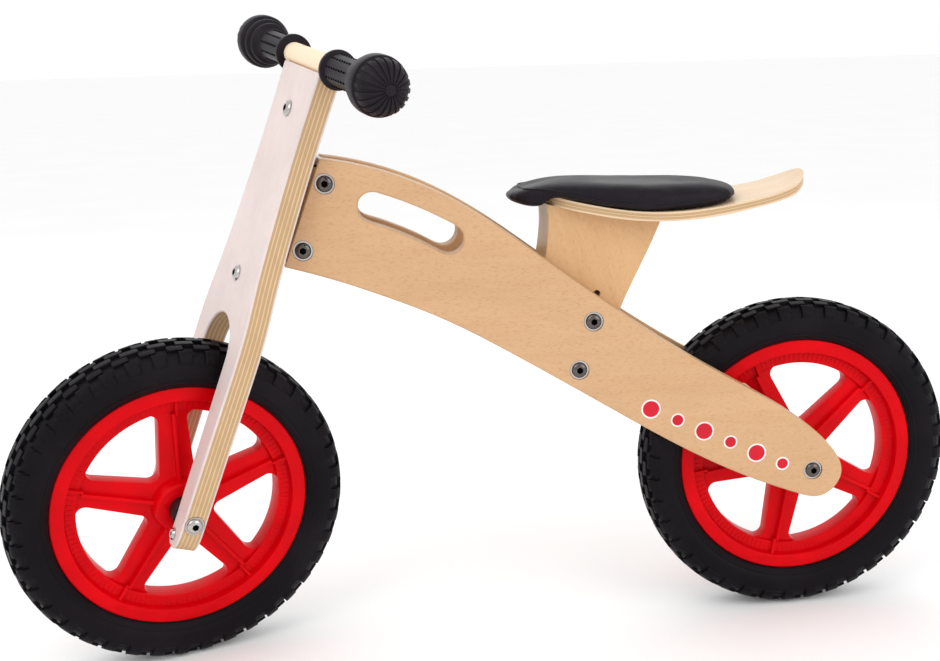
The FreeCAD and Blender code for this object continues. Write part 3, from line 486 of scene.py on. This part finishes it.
def along_normal(normal, face_distance, thickness, mirrored):
    """Depth under the nearer face of a flat board, from the board's normal and its face."""
    def depth(tree, point):
        where = point
        if mirrored:
            parts = add_node(tree, "SeparateXYZ", {0: point})
            side = maths(tree, "ABSOLUTE", parts.outputs[1])
            where = add_node(tree, "CombineXYZ", {0: parts.outputs[0], 1: side,
                                                  2: parts.outputs[2]}).outputs[0]
        dot = add_node(tree, "VectorMath", {0: where, 1: tuple(normal)}, operation="DOT_PRODUCT")
        below = maths(tree, "SUBTRACT", face_distance, dot.outputs["Value"])
        return maths(tree, "MINIMUM", below, maths(tree, "SUBTRACT", thickness, below))
    return depth


# The seat board's underside as a polynomial of x, in metres, highest power first.
SEAT_CURVE = [4259.3, -3579, 1153.4, -177.46, 14.445, -0.74585, 0.410368]
SEAT_BOARD_THICK = 8 * MM


def under_seat(tree, point):
    """Depth under the nearer face of the curved seat board."""
    parts = add_node(tree, "SeparateXYZ", {0: point})
    height = SEAT_CURVE[0]
    for power in SEAT_CURVE[1:]:
        height = maths(tree, "MULTIPLY_ADD", height, parts.outputs[0], power)
    above = maths(tree, "SUBTRACT", parts.outputs[2], height)
    return maths(tree, "MINIMUM", above, maths(tree, "SUBTRACT", SEAT_BOARD_THICK, above))


def turned_beech(name):
    """The dowel's pale wood, its grain along the handlebar."""
    look = finishes()
    material, tree, shader, point = new_material(name)
    to_bar = (FORK.to_3x3() @ Matrix.Rotation(math.radians(90), 3, "Z")).inverted().to_euler()
    mapping = add_node(tree, "Mapping", {"Vector": point, "Rotation": tuple(to_bar)})
    figure = use_group(tree, "Wood figure", Vector=mapping.outputs[0], Scale=1.3)
    handled = use_group(tree, "Handling", Vector=point)
    base = (look.fork_wood[0], look.fork_wood[1] * 0.90, look.fork_wood[2] * 0.82)
    colour = blend(tree, maths(tree, "MULTIPLY", figure.outputs["Clouds"], 0.5),
                   shades(base, 0.95), shades(base, 1.08))
    colour = blend(tree, maths(tree, "MULTIPLY", figure.outputs["Streaks"], 0.55), colour,
                   shades((base[0], base[1] * 0.86, base[2] * 0.72), 0.85))
    colour = blend(tree, maths(tree, "MULTIPLY", figure.outputs["Pores"], 0.4), colour,
                   shades(look.dark_ply, 1.0))
    tree.links.new(colour, shader.inputs["Base Color"])
    tree.links.new(maths(tree, "MULTIPLY_ADD", handled.outputs["Rubbed"], 0.12, 0.34),
                   shader.inputs["Roughness"])
    bump(tree, shader, maths(tree, "SUBTRACT", 0.0, figure.outputs["Streaks"]), 0.00006)
    return material


def moulded(name, colour, roughness, spread, patch=22.0, gloss=0.3):
    """Smooth moulded plastic or plated metal with faintly uneven gloss."""
    material, tree, shader, point = new_material(name)
    handled = use_group(tree, "Handling", Vector=point, Patch=patch)
    tone = blend(tree, handled.outputs["Rubbed"], shades(colour, 0.9), shades(colour, 1.08))
    tree.links.new(tone, shader.inputs["Base Color"])
    tree.links.new(maths(tree, "MULTIPLY_ADD", handled.outputs["Rubbed"], spread, roughness),
                   shader.inputs["Roughness"])
    bump(tree, shader, handled.outputs["Specks"], 0.00002, 0.3)
    shader.inputs["Specular IOR Level"].default_value = gloss
    return material


def steel(name, colour, roughness):
    material = moulded(name, colour, roughness, 0.1, 60.0)
    material.node_tree.nodes["Principled BSDF"].inputs["Metallic"].default_value = 1.0
    return material


def skin(name, colour, scale, depth, roughness, dust_and_sheen, gloss):
    """Grained rubber, foam or leatherette: painted shade darkens the grain's creases, and random
    patches are lightened purple-grey for dust and painted sheen.
    """
    material, tree, shader, point = new_material(name)
    grain = use_group(tree, "Skin grain", Vector=point, Scale=scale)
    handled = use_group(tree, "Handling", Vector=point, Patch=14.0)
    # Dust and painted sheen: random patches lightened to a purple-grey.
    dust_and_sheen_mask = maths(tree, "MULTIPLY", handled.outputs["Rubbed"], dust_and_sheen)
    tone = blend(tree, dust_and_sheen_mask, shades(colour, 1.0), (0.035, 0.028, 0.036, 1.0))
    # Painted shade: the grain's creases are darkened towards 0.4 of the colour.
    tone = blend(tree, maths(tree, "MULTIPLY", grain.outputs["Creases"], 0.5), tone,
                 shades(colour, 0.4))
    tree.links.new(tone, shader.inputs["Base Color"])
    tree.links.new(maths(tree, "MULTIPLY_ADD", handled.outputs["Rubbed"], 0.12, roughness),
                   shader.inputs["Roughness"])
    bump(tree, shader, grain.outputs["Height"], depth, 0.5)
    shader.inputs["Specular IOR Level"].default_value = gloss
    return material


def make_materials():
    """All of the bike's finishes, by name."""
    look = finishes()
    for group in (figure_group, layers_group, handling_group, grain_group):
        group()
    splay = Vector((math.sin(PLATE_SPLAY), math.cos(PLATE_SPLAY), 0))
    plate_face = PLATE_HALF * math.cos(PLATE_SPLAY)
    board = FORK.to_3x3() @ Vector((1, 0, 0))
    board_face = board.dot(FORK.translation) + BOARD_HALF
    up_board = (0, math.radians(90) - RAKE, 0)
    down_post = (0, math.radians(73), 0)
    plywood("plywood frame", look.frame_wood,
            along_normal(splay, plate_face, 18 * MM, True), 2.2 * MM, pores=0.4)
    plywood("plywood post", look.post_wood,
            along_normal(splay, plate_face - 18 * MM, 1.0, True), 2.2 * MM, turn=down_post)
    plywood("plywood fork", look.fork_wood,
            along_normal(board, board_face, 20 * MM, False), 1.8 * MM, turn=up_board, pores=0.12)
    plywood("plywood seat", look.seat_wood, under_seat, 1.7 * MM, pores=0.2)
    turned_beech("beech")
    moulded("red plastic", look.rim_red, 0.28, 0.12, gloss=0.08)
    moulded("black plastic", (0.012, 0.012, 0.013), 0.38, 0.1)
    # Painted shade: a near-black standing in for the shade inside the grip's dimples and the bolts'
    # sockets.
    moulded("painted shade black", (0.001, 0.001, 0.001), 0.6, 0.1, gloss=0.02)
    moulded("print red", (0.60, 0.004, 0.02), 0.35, 0.1)
    moulded("print white", (0.85, 0.82, 0.80), 0.4, 0.1)
    steel("bright steel", (0.50, 0.48, 0.46), 0.14)
    # Painted reflection: the dark colour stands for the dark surroundings that the shiny bolt heads
    # reflect.
    steel("painted reflection steel", (0.12, 0.105, 0.10), 0.12)
    steel("plated steel", (0.42, 0.42, 0.43), 0.32)
    skin("foam tyre", look.tyre_black, 1400.0, 0.00012, 0.36, 0.2, 0.09)
    skin("black rubber", (0.012, 0.009, 0.013), 1200.0, 0.00006, 0.34, 0.15, 0.12)
    skin("black leatherette", look.cushion_black, 420.0, 0.00015, 0.4, 0.12, 0.12)


CARRIED = {
    "plywood frame": ("side_plate_left", "side_plate_right"),
    "plywood post": ("seat_post", "head_block"),
    "plywood fork": ("fork_board",),
    "plywood seat": ("seat_board",),
    "beech": ("handlebar", "inner_pegs"),
    "black plastic": ("head_bushes", "rear_spacers", "front_spacers"),
    "bright steel": ("frame_washers", "frame_nuts", "rear_axle_washers", "rear_axle_nut",
                     "front_axle_washers", "front_axle_nut", "bracket_nuts", "leg_screws"),
    "plated steel": ("seat_screws", "rear_axle_sleeve", "front_axle_sleeve", "rear_bearings",
                     "front_bearings", "fork_bracket", "steering_pin", "steering_pin_nut",
                     "steering_washers", "bar_screws"),
}


def finish(name):
    return bpy.data.materials[name]


class BIKE_OT_finishes(bpy.types.Operator):
    """Make the finishes and give the CAD parts theirs"""

    bl_idname = "bike.finishes"
    bl_label = "Finishes"

    def execute(self, context):
        make_materials()
        for name, nodes in CARRIED.items():
            for node in nodes:
                obj = frame["nodes"][node]
                obj.data.materials.clear()
                obj.data.materials.append(finish(name))
        return {"FINISHED"}


# ---------------------------------------------------------------- wheels

# Half of the bare tyre's section from the rim to the crown, as (radius, height) in mm.
TYRE_SIDE = [(106, 13.9), (113.4, 13.9), (113.6, 18), (115.5, 20.2), (117.4, 21.2), (118, 22),
             (119.2, 22.6), (120.2, 22.4), (120.8, 23), (124, 24.3), (129, 24.8), (134, 24.6),
             (136, 24.2), (136.6, 23.4), (139, 22.6), (142.2, 20.4), (145, 16), (146.4, 9),
             (146.8, 3)]
# The tread blocks: outer corners (radius, height) in mm, then start and end in one pitch.
TREAD = [
    ([(149.9, 0.9), (149.9, 4.5), (149.6, 8.2)], 0.00, 0.66),
    ([(149.3, 10.2), (148.6, 13.4), (147.7, 16.4)], 0.40, 1.00),
    ([(147.2, 18.2), (145.8, 20.9), (143.0, 23.2), (139.6, 24.8), (136.9, 24.9)], 0.02, 0.50),
    ([(147.2, 18.2), (145.8, 20.9), (143.4, 22.9)], 0.60, 0.70),
    ([(147.2, 18.2), (145.8, 20.9), (143.4, 22.9)], 0.80, 0.90),
]
TREAD_FOOT = 4.2


def tread_block(index, outer, start, end, sign):
    """One tread block of the first pitch, on one side of the tyre's middle."""
    pitch = math.tau / sizes().tread_pitches
    foot = [(r - TREAD_FOOT, h - TREAD_FOOT * 0.35 * (h > 12)) for r, h in reversed(outer)]
    corners = [(r * MM, sign * h * MM) for r, h in list(outer) + foot]
    shift = 0.5 if sign < 0 else 0.0
    return arc_block(f"tread_{index}_{sign}", corners, (start + shift) * pitch,
                     (end - start) * pitch, 3 if end - start > 0.2 else 1, 0.45 * MM)


def tyre(which):
    """A foam tyre: its bare section spun round, with stepped blocks for a tread."""
    place = WHEELS[which][0]
    side = [(r * MM, h * MM) for r, h in TYRE_SIDE]
    other = [(r, -h) for r, h in reversed(side)]
    bare = spun(which + "_tyre_bare", side + other, 120)
    blocks = [tread_block(i, outer, start, end, sign)
              for i, (outer, start, end) in enumerate(TREAD) for sign in (1, -1)]
    tread = joined(which + "_tread", blocks)
    repeat_round(tread, sizes().tread_pitches)
    made = joined(which + "_tyre_foam", [bare, tread])
    put(made, place)
    smooth(made, 40)
    return finish_piece(made, finish("foam tyre"), which + "_wheel", "foam_tyre", which + "_tyre")


class BIKE_OT_tyres(bpy.types.Operator):
    """Model the two foam tyres with their tread"""

    bl_idname = "bike.tyres"
    bl_label = "Tyres"

    def execute(self, context):
        for which in WHEELS:
            tyre(which)
        return {"FINISHED"}


RIB_COUNT = 5


def rim_bars(which, phase):
    """What stands on a rim's two faces: serrations in the channel, and the spoke ribs' ends."""
    parts = []
    for sign in (1, -1):
        pitch = math.tau / sizes().serrations
        face = [(92.2, 10.0), (99.2, 10.0), (99.2, 10.55), (92.2, 10.35)]
        corners = [(r * MM, sign * h * MM) for r, h in face]
        bar = arc_block(f"{which}_serration", corners, 0, pitch * 0.5, 1, 0)
        repeat_round(bar, sizes().serrations)
        ribs = [(86, 9.0), (103, 9.0), (103.5, 16.5), (99, 14.2), (86, 13.0)]
        corners = [(r * MM, sign * h * MM) for r, h in ribs]
        sweep = math.radians(1.7)
        rib = arc_block(f"{which}_rib", corners, math.radians(phase) - sweep / 2, sweep, 1,
                        0.5 * MM)
        repeat_round(rib, RIB_COUNT)
        parts += [bar, rib]
    return parts


def rim(which):
    """One moulded wheel: hub, spokes and ring from the CAD shape, edges eased, ribs added."""
    place, phase = WHEELS[which]
    ring = node_copy(which + "_rim", which + "_ring")
    star = node_copy(which + "_spokes", which + "_star")
    ease_edges(ring, 1.1 * MM)
    ease_edges(star, 1.3 * MM)
    bars = rim_bars(which, phase)
    for bar in bars:
        put(bar, place)
    made = joined(which + "_wheel_moulding", [ring, star] + bars)
    smooth(made, 35)
    return finish_piece(made, finish("red plastic"), which + "_wheel", "red_plastic",
                        which + "_rim", which + "_spokes")


class BIKE_OT_rims(bpy.types.Operator):
    """Model the two moulded five-spoke wheels"""

    bl_idname = "bike.rims"
    bl_label = "Rims"

    def execute(self, context):
        for which in WHEELS:
            rim(which)
        return {"FINISHED"}


# ---------------------------------------------------------------- grips

# A grip's section from its inner flange out over the knob, as (radius, reach) in mm.
GRIP_SIDE = [
    (9.6, 53), (15.2, 53), (16.1, 53.8), (16.3, 55.5), (16.1, 57.2), (15.2, 58), (13.6, 58.5),
    (13.1, 60), (13.1, 112), (13.5, 115), (14.8, 117), (17.4, 118), (18.2, 119), (18.3, 124),
    (18.0, 125.2), (20.2, 126), (20.9, 127), (21.0, 132), (20.6, 133.2), (22.6, 134.2),
    (23.4, 136), (23.5, 144), (23.1, 146.6), (21.6, 147.4), (21.0, 149), (20.1, 153.4),
    (18.4, 157.4), (15.2, 161.2), (11.6, 163.9), (7.8, 165.8), (4.6, 166.7), (4.2, 167.3),
    (3.2, 167.8), (1.2, 168.0), (0.0, 168.0), (0.0, 160.5), (9.6, 160.5),
]
DOT_ROWS = 10
DOT_RADIUS = 1.1 * MM
DOT_SINK = 12.9 * MM
DOT_START = 63.5 * MM
DOT_STEP = 5.4 * MM
# A ridge's outline on the knob's dome, from the rim to the cap at its middle.
RIDGE_SIDE = [(21.9, 149), (21.2, 153.8), (19.4, 158.1), (16.0, 162.1), (12.2, 164.8),
              (8.2, 166.7), (5.0, 167.5), (4.6, 166.0), (11.0, 163.0), (17.6, 156.6), (20.2, 149)]
RIDGES = 20


def grip(side, sign):
    """A rubber grip: flange, dotted sleeve and a stepped knob with a ridged dome."""
    body = spun(f"{side}_grip_body", [(r * MM, h * MM) for r, h in GRIP_SIDE], 72)
    leave_edit()
    bpy.ops.mesh.primitive_uv_sphere_add(segments=8, ring_count=5, radius=DOT_RADIUS,
                                         location=(DOT_SINK, 0, DOT_START))
    dots = bpy.context.object
    row = dots.modifiers.new("Row", "ARRAY")
    row.count = sizes().grip_dots
    row.use_relative_offset = False
    row.use_constant_offset = True
    row.constant_offset_displace = (0, 0, DOT_STEP)
    apply_modifiers(dots)
    pick(dots)
    bpy.ops.object.transform_apply(location=True, rotation=True, scale=True)
    repeat_round(dots, DOT_ROWS)
    ridge = arc_block(f"{side}_ridge", [(r * MM, h * MM) for r, h in RIDGE_SIDE], 0,
                      math.tau / RIDGES * 0.55, 2, 0.2 * MM)
    repeat_round(ridge, RIDGES)
    body.data.materials.append(finish("black rubber"))
    # Painted shade: the raised dots are near-black, standing in for the shade inside dimples.
    dots.data.materials.append(finish("painted shade black"))
    ridge.data.materials.append(finish("black rubber"))
    made = joined(f"{side}_grip_rubber", [body, dots, ridge])
    turn = Matrix.Rotation(math.radians(-90 * sign), 4, "X")
    put(made, FORK @ Matrix.Translation((0, 0, BAR_HEIGHT)) @ turn)
    smooth(made, 40)
    return finish_piece(made, finish("black rubber"), "fork", "black_rubber", "grip_" + side)


class BIKE_OT_grips(bpy.types.Operator):
    """Model the two rubber grips"""

    bl_idname = "bike.grips"
    bl_label = "Grips"

    def execute(self, context):
        grip("left", 1)
        grip("right", -1)
        return {"FINISHED"}


# ---------------------------------------------------------------- seat cushion

VOXEL = 4.5 * MM
SETTLE_FRAMES = 20
PIPING_RADIUS = 1.1 * MM
PIPING_POINTS = 72
SEAT_NOSE = 239 * MM
SEAM_RISE = 5.5 * MM


def fill_cushion(obj, pinned):
    """Fill the cover with cloth under pressure, its underside held, and keep the swell small."""
    pick(obj)
    group = obj.vertex_groups.new(name="underside")
    group.add(pinned, 1.0, "REPLACE")
    cloth = obj.modifiers.new("Filling", "CLOTH")
    cloth.settings.use_pressure = True
    cloth.settings.uniform_pressure_force = 4.0
    cloth.settings.effector_weights.gravity = 0.0
    cloth.settings.vertex_group_mass = group.name
    cloth.point_cache.frame_end = SETTLE_FRAMES
    scene = bpy.context.scene
    before = [v.co.copy() for v in obj.data.vertices]
    for step in range(1, SETTLE_FRAMES + 1):
        scene.frame_set(step)
    apply_modifiers(obj)
    scene.frame_set(1)
    limit = sizes().cushion_swell
    for vertex, rest in zip(obj.data.vertices, before):
        move = vertex.co - rest
        if move.length > limit:
            vertex.co = rest + move.normalized() * limit
    settle = obj.modifiers.new("Settle", "SMOOTH")
    settle.factor = 0.5
    settle.iterations = 12
    apply_modifiers(obj)


def cushion():
    """The padded seat: a filled cover that sits on the board."""
    obj = node_copy("seat_cushion", "cushion_cover")
    pick(obj)
    remesh = obj.modifiers.new("Even skin", "REMESH")
    remesh.mode = "VOXEL"
    remesh.voxel_size = VOXEL
    soften = obj.modifiers.new("Soften", "SMOOTH")
    soften.factor = 0.6
    soften.iterations = 6
    apply_modifiers(obj)
    flat = [v.index for v in obj.data.vertices if is_underside(v)]
    fill_cushion(obj, flat)
    fine = obj.modifiers.new("Fine", "SUBSURF")
    fine.levels = fine.render_levels = 1
    apply_modifiers(obj)
    smooth(obj, 80)
    finish_piece(obj, finish("black leatherette"), "frame", "black_leatherette", "seat_cushion")
    return obj


def is_underside(vertex):
    return vertex.normal.z < -0.5


def seam_height(x):
    """How high the seam runs at x: a little above the seat board's upper face."""
    height = 0
    for power in SEAT_CURVE:
        height = height * min(x, SEAT_NOSE) + power
    return height + SEAT_BOARD_THICK + SEAM_RISE


def piping(cover):
    """A thin corded seam round the cushion where its top panel meets its side."""
    low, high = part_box("seat_cushion")
    middle = (low + high) / 2
    rim = []
    for step in range(PIPING_POINTS):
        angle = math.tau * step / PIPING_POINTS
        way = Vector((math.cos(angle) / (high.x - low.x), math.sin(angle) / (high.y - low.y), 0))
        way.normalize()
        rim.append(max((v.co for v in cover.data.vertices),
                       key=lambda co: ((co.x - middle.x) * way.x + (co.y - middle.y) * way.y
                                       - 3 * abs(co.z - seam_height(co.x)))))
    curve = bpy.data.curves.new("cushion_piping", "CURVE")
    curve.dimensions = "3D"
    curve.bevel_depth = PIPING_RADIUS
    curve.bevel_resolution = 3
    line = curve.splines.new("NURBS")
    line.points.add(len(rim) - 1)
    for point, co in zip(line.points, rim):
        inward = Vector((middle.x - co.x, middle.y - co.y, 0)).normalized()
        point.co = (*(co + inward * PIPING_RADIUS * 0.3), 1)
    line.order_u = 4
    line.use_cyclic_u = True
    obj = bpy.data.objects.new("cushion_piping", curve)
    bpy.context.scene.collection.objects.link(obj)
    pick(obj)
    bpy.ops.object.convert(target="MESH")
    obj = bpy.context.object
    smooth(obj, 60)
    return finish_piece(obj, finish("black leatherette"), "frame", "black_leatherette")


class BIKE_OT_cushion(bpy.types.Operator):
    """Model the padded seat and its seam"""

    bl_idname = "bike.cushion"
    bl_label = "Cushion"

    def execute(self, context):
        piping(cushion())
        return {"FINISHED"}


# ---------------------------------------------------------------- bolts with socket heads

# A button head's outline from the middle of its dome to its seat, as (radius, height) in mm.
HEAD_SIDE = [(0.0, 3.4), (3.1, 3.36), (3.9, 3.2), (4.9, 2.85), (5.9, 2.25), (6.6, 1.55),
             (6.95, 0.95), (7.0, 0.5), (6.75, 0.12), (5.9, 0.0)]
HEAD_THICK = 3.4 * MM
SOCKET_RADIUS = 3.1 * MM
SOCKET_DEPTH = 2.2 * MM
# Each node of bolts: its body, the axis it lies along there, its shank and its finish.
BOLT_SETS = {
    "head_bolts": ("frame", "y", 3, "painted reflection steel"),
    "post_bolts": ("frame", "y", 3, "painted reflection steel"),
    "rear_axle_bolt": ("frame", "y", 4, "painted reflection steel"),
    "bracket_bolts": ("fork", "x", 3, "bright steel"),
    "front_axle_bolt": ("fork", "y", 4, "bright steel"),
}


def bolt_seats(node, axes, axis):
    """Where each of a node's bolts seats in its body's axes, and how long its shank is."""
    pick(node_copy(node, "bolt_sample"))
    bpy.ops.object.mode_set(mode="EDIT")
    bpy.ops.mesh.select_all(action="SELECT")
    bpy.ops.mesh.separate(type="LOOSE")
    bpy.ops.object.mode_set(mode="OBJECT")
    samples = list(bpy.context.selected_objects)
    seats = []
    for sample in samples:
        points = [axes.inverted() @ v.co for v in sample.data.vertices]
        low = Vector([min(p[i] for p in points) for i in range(3)])
        high = Vector([max(p[i] for p in points) for i in range(3)])
        seat = (low + high) / 2
        seat[axis] = high[axis] - HEAD_THICK
        seats.append((seat, seat[axis] - low[axis]))
    pick(*samples)
    bpy.ops.object.delete()
    return seats


def socket_bolt(name, shank, length, material):
    """A button-headed bolt with a six-sided socket; its head seats on Z = 0."""
    side = [(r * MM, h * MM) for r, h in HEAD_SIDE]
    bolt = spun(name, side + [(shank, 0), (shank, -length), (0, -length)], 48)
    leave_edit()
    bpy.ops.mesh.primitive_cylinder_add(vertices=6, radius=SOCKET_RADIUS, depth=2 * SOCKET_DEPTH,
                                        location=(0, 0, HEAD_THICK))
    key = bpy.context.object
    socket = bolt.modifiers.new("Socket", "BOOLEAN")
    socket.operation = "DIFFERENCE"
    socket.solver = "EXACT"
    socket.object = key
    apply_modifiers(bolt)
    pick(key)
    bpy.ops.object.delete()
    bolt.data.materials.clear()
    bolt.data.materials.append(material)
    bolt.data.materials.append(finish("painted shade black"))
    # Painted shade: the socket's deeper faces get the near-black that stands for the shade inside
    # the recess.
    for face in bolt.data.polygons:
        across = Vector(face.center[:2]).length
        inside = across < SOCKET_RADIUS and abs(face.center.z - HEAD_THICK) < SOCKET_DEPTH * 1.01
        face.material_index = int(inside and face.center.z < HEAD_THICK - SOCKET_DEPTH / 4)
    return bolt


class BIKE_OT_bolts(bpy.types.Operator):
    """Model the bolts with their domed socket heads"""

    bl_idname = "bike.bolts"
    bl_label = "Bolts"

    def execute(self, context):
        for node, (body, letter, shank, material) in BOLT_SETS.items():
            axes = FORK if body == "fork" else Matrix.Identity(4)
            axis = "xyz".index(letter)
            turn = Vector((0, 0, 1)).rotation_difference(Matrix.Identity(3)[axis])
            bolts = []
            for seat, length in bolt_seats(node, axes, axis):
                bolt = socket_bolt(node + "_socket", shank * MM, length, finish(material))
                put(bolt, axes @ Matrix.Translation(seat) @ turn.to_matrix().to_4x4())
                bolts.append(bolt)
            made = joined(node + "_button", bolts)
            smooth(made, 30)
            finish_piece(made, finish(material), body, "bright_steel", node)
        return {"FINISHED"}


# ---------------------------------------------------------------- printed dots

PRINT_LINE = [(151 * MM, 216 * MM), (29 * MM, 158 * MM)]
PRINT_COUNT = 6
PRINT_BIG, PRINT_SMALL = 7.5 * MM, 5 * MM
PRINT_OUTLINE = 1.4 * MM
PRINT_THICK = 0.3 * MM
PRINT_LIFT = 0.05 * MM


def printed_disc(name, x, z, radius, lift, material):
    """A thin printed disc on the left side plate's face."""
    leave_edit()
    bpy.ops.mesh.primitive_cylinder_add(vertices=40, radius=radius, depth=PRINT_THICK)
    obj = bpy.context.object
    obj.name = name
    bpy.ops.object.mode_set(mode="EDIT")
    bpy.ops.mesh.select_all(action="SELECT")
    bpy.ops.mesh.bevel(offset=PRINT_THICK / 5, segments=1, affect="EDGES")
    bpy.ops.object.mode_set(mode="OBJECT")
    face = PLATE_HALF - x * math.tan(PLATE_SPLAY)
    lean = Matrix.Rotation(-PLATE_SPLAY, 4, "Z") @ Matrix.Rotation(math.radians(-90), 4, "X")
    put(obj, Matrix.Translation((x, face + lift, z)) @ lean)
    smooth(obj, 30)
    return finish_piece(obj, finish(material), "frame", "red_plastic")


class BIKE_OT_dots(bpy.types.Operator):
    """Print a row of outlined dots on the left side plate"""

    bl_idname = "bike.dots"
    bl_label = "Dots"

    def execute(self, context):
        start, end = (Vector(place) for place in PRINT_LINE)
        for index in range(PRINT_COUNT):
            x, z = start.lerp(end, index / (PRINT_COUNT - 1))
            size = PRINT_BIG if index % 2 == 0 else PRINT_SMALL
            printed_disc(f"dot_outline_{index}", x, z, size + PRINT_OUTLINE, -PRINT_LIFT,
                         "print white")
            printed_disc(f"dot_{index}", x, z, size, PRINT_LIFT, "print red")
        return {"FINISHED"}


# ---------------------------------------------------------------- stage

VIEW_FROM = Vector((433.4, 1181.8, 537.7)) * MM
VIEW_YAW, VIEW_PITCH, VIEW_ROLL = (math.radians(a) for a in (-9.08, 15.83, -1.45))
VIEW_LENS = 51.16
VIEW_SHIFT = (-0.0745, 0.0952)


def camera():
    ahead = Vector((math.sin(VIEW_YAW) * math.cos(VIEW_PITCH),
                    -math.cos(VIEW_YAW) * math.cos(VIEW_PITCH), -math.sin(VIEW_PITCH)))
    right = ahead.cross(Vector((0, 0, 1))).normalized()
    up = right.cross(ahead)
    across = right * math.cos(VIEW_ROLL) + up * math.sin(VIEW_ROLL)
    upward = up * math.cos(VIEW_ROLL) - right * math.sin(VIEW_ROLL)
    data = bpy.data.cameras.new("View")
    data.sensor_width = 36
    data.lens = VIEW_LENS
    data.shift_x, data.shift_y = VIEW_SHIFT
    obj = bpy.data.objects.new("View", data)
    turn = Matrix((across, upward, -ahead)).transposed().to_4x4()
    obj.matrix_world = Matrix.Translation(VIEW_FROM) @ turn
    bpy.context.scene.collection.objects.link(obj)
    bpy.context.scene.camera = obj


def lamp(name, where, aim, size, power, colour=(1, 1, 1)):
    """A soft square light that points at aim."""
    data = bpy.data.lights.new(name, "AREA")
    data.shape = "SQUARE"
    data.size = size
    data.energy = power
    data.color = colour
    obj = bpy.data.objects.new(name, data)
    way = Vector(aim) - Vector(where)
    obj.matrix_world = Matrix.Translation(where) @ way.to_track_quat("-Z", "Y").to_matrix().to_4x4()
    bpy.context.scene.collection.objects.link(obj)


def floor():
    leave_edit()
    bpy.ops.mesh.primitive_plane_add(size=60, location=(0, 0, 0))
    obj = bpy.context.object
    obj.name = "floor"
    material, tree, shader, point = new_material("pale floor")
    handled = use_group(tree, "Handling", Vector=point, Patch=3.0)
    tone = blend(tree, handled.outputs["Rubbed"], (0.955, 0.955, 0.955, 1), (0.97, 0.97, 0.97, 1))
    tree.links.new(tone, shader.inputs["Base Color"])
    shader.inputs["Roughness"].default_value = 0.9
    obj.data.materials.append(material)


class BIKE_OT_stage(bpy.types.Operator):
    """Set up the camera, the soft lights and the pale floor"""

    bl_idname = "bike.stage"
    bl_label = "Stage"

    def execute(self, context):
        scene = context.scene
        scene.view_settings.view_transform = "Standard"
        camera()
        lamp("key", (1.6, 1.2, 1.9), (0.45, 0, 0.25), 1.6, 13)
        lamp("fill", (-1.4, 1.7, 1.3), (0.1, 0, 0.2), 1.6, 13)
        lamp("back", (0.2, -1.8, 1.7), (0.3, 0, 0.25), 2.4, 8)
        world = bpy.data.worlds.new("Studio")
        world.use_nodes = True
        background = world.node_tree.nodes["Background"]
        background.inputs["Color"].default_value = (1, 1, 1, 1)
        background.inputs["Strength"].default_value = 1.0
        scene.world = world
        floor()
        return {"FINISHED"}


# ---------------------------------------------------------------- panel and registration

OPERATORS = (BIKE_OT_finishes, BIKE_OT_stage, BIKE_OT_tyres, BIKE_OT_rims, BIKE_OT_grips,
             BIKE_OT_cushion, BIKE_OT_bolts, BIKE_OT_dots)


class BIKE_PT_panel(bpy.types.Panel):
    """The bike's finishes, sizes and pieces"""

    bl_idname = "BIKE_PT_panel"
    bl_label = "Balance bike"
    bl_space_type = "VIEW_3D"
    bl_region_type = "UI"
    bl_category = "Bike"

    def draw(self, context):
        for group in (context.scene.bike_finishes, context.scene.bike_sizes):
            for name in type(group).__annotations__:
                self.layout.prop(group, name)
        for operator in OPERATORS:
            self.layout.operator(operator.bl_idname)


CLASSES = (BikeFinishes, BikeSizes, *OPERATORS, BIKE_PT_panel)


def register():
    for cls in CLASSES:
        bpy.utils.register_class(cls)
    bpy.types.Scene.bike_finishes = PointerProperty(type=BikeFinishes)
    bpy.types.Scene.bike_sizes = PointerProperty(type=BikeSizes)


def unregister():
    del bpy.types.Scene.bike_finishes
    del bpy.types.Scene.bike_sizes
    for cls in reversed(CLASSES):
        bpy.utils.unregister_class(cls)


def main():
    register()
    bpy.ops.bike.finishes()
    bpy.ops.bike.stage()
    bpy.ops.bike.tyres()
    bpy.ops.bike.rims()
    bpy.ops.bike.grips()
    bpy.ops.bike.cushion()
    bpy.ops.bike.bolts()
    bpy.ops.bike.dots()


if __name__ == "__main__":
    main()
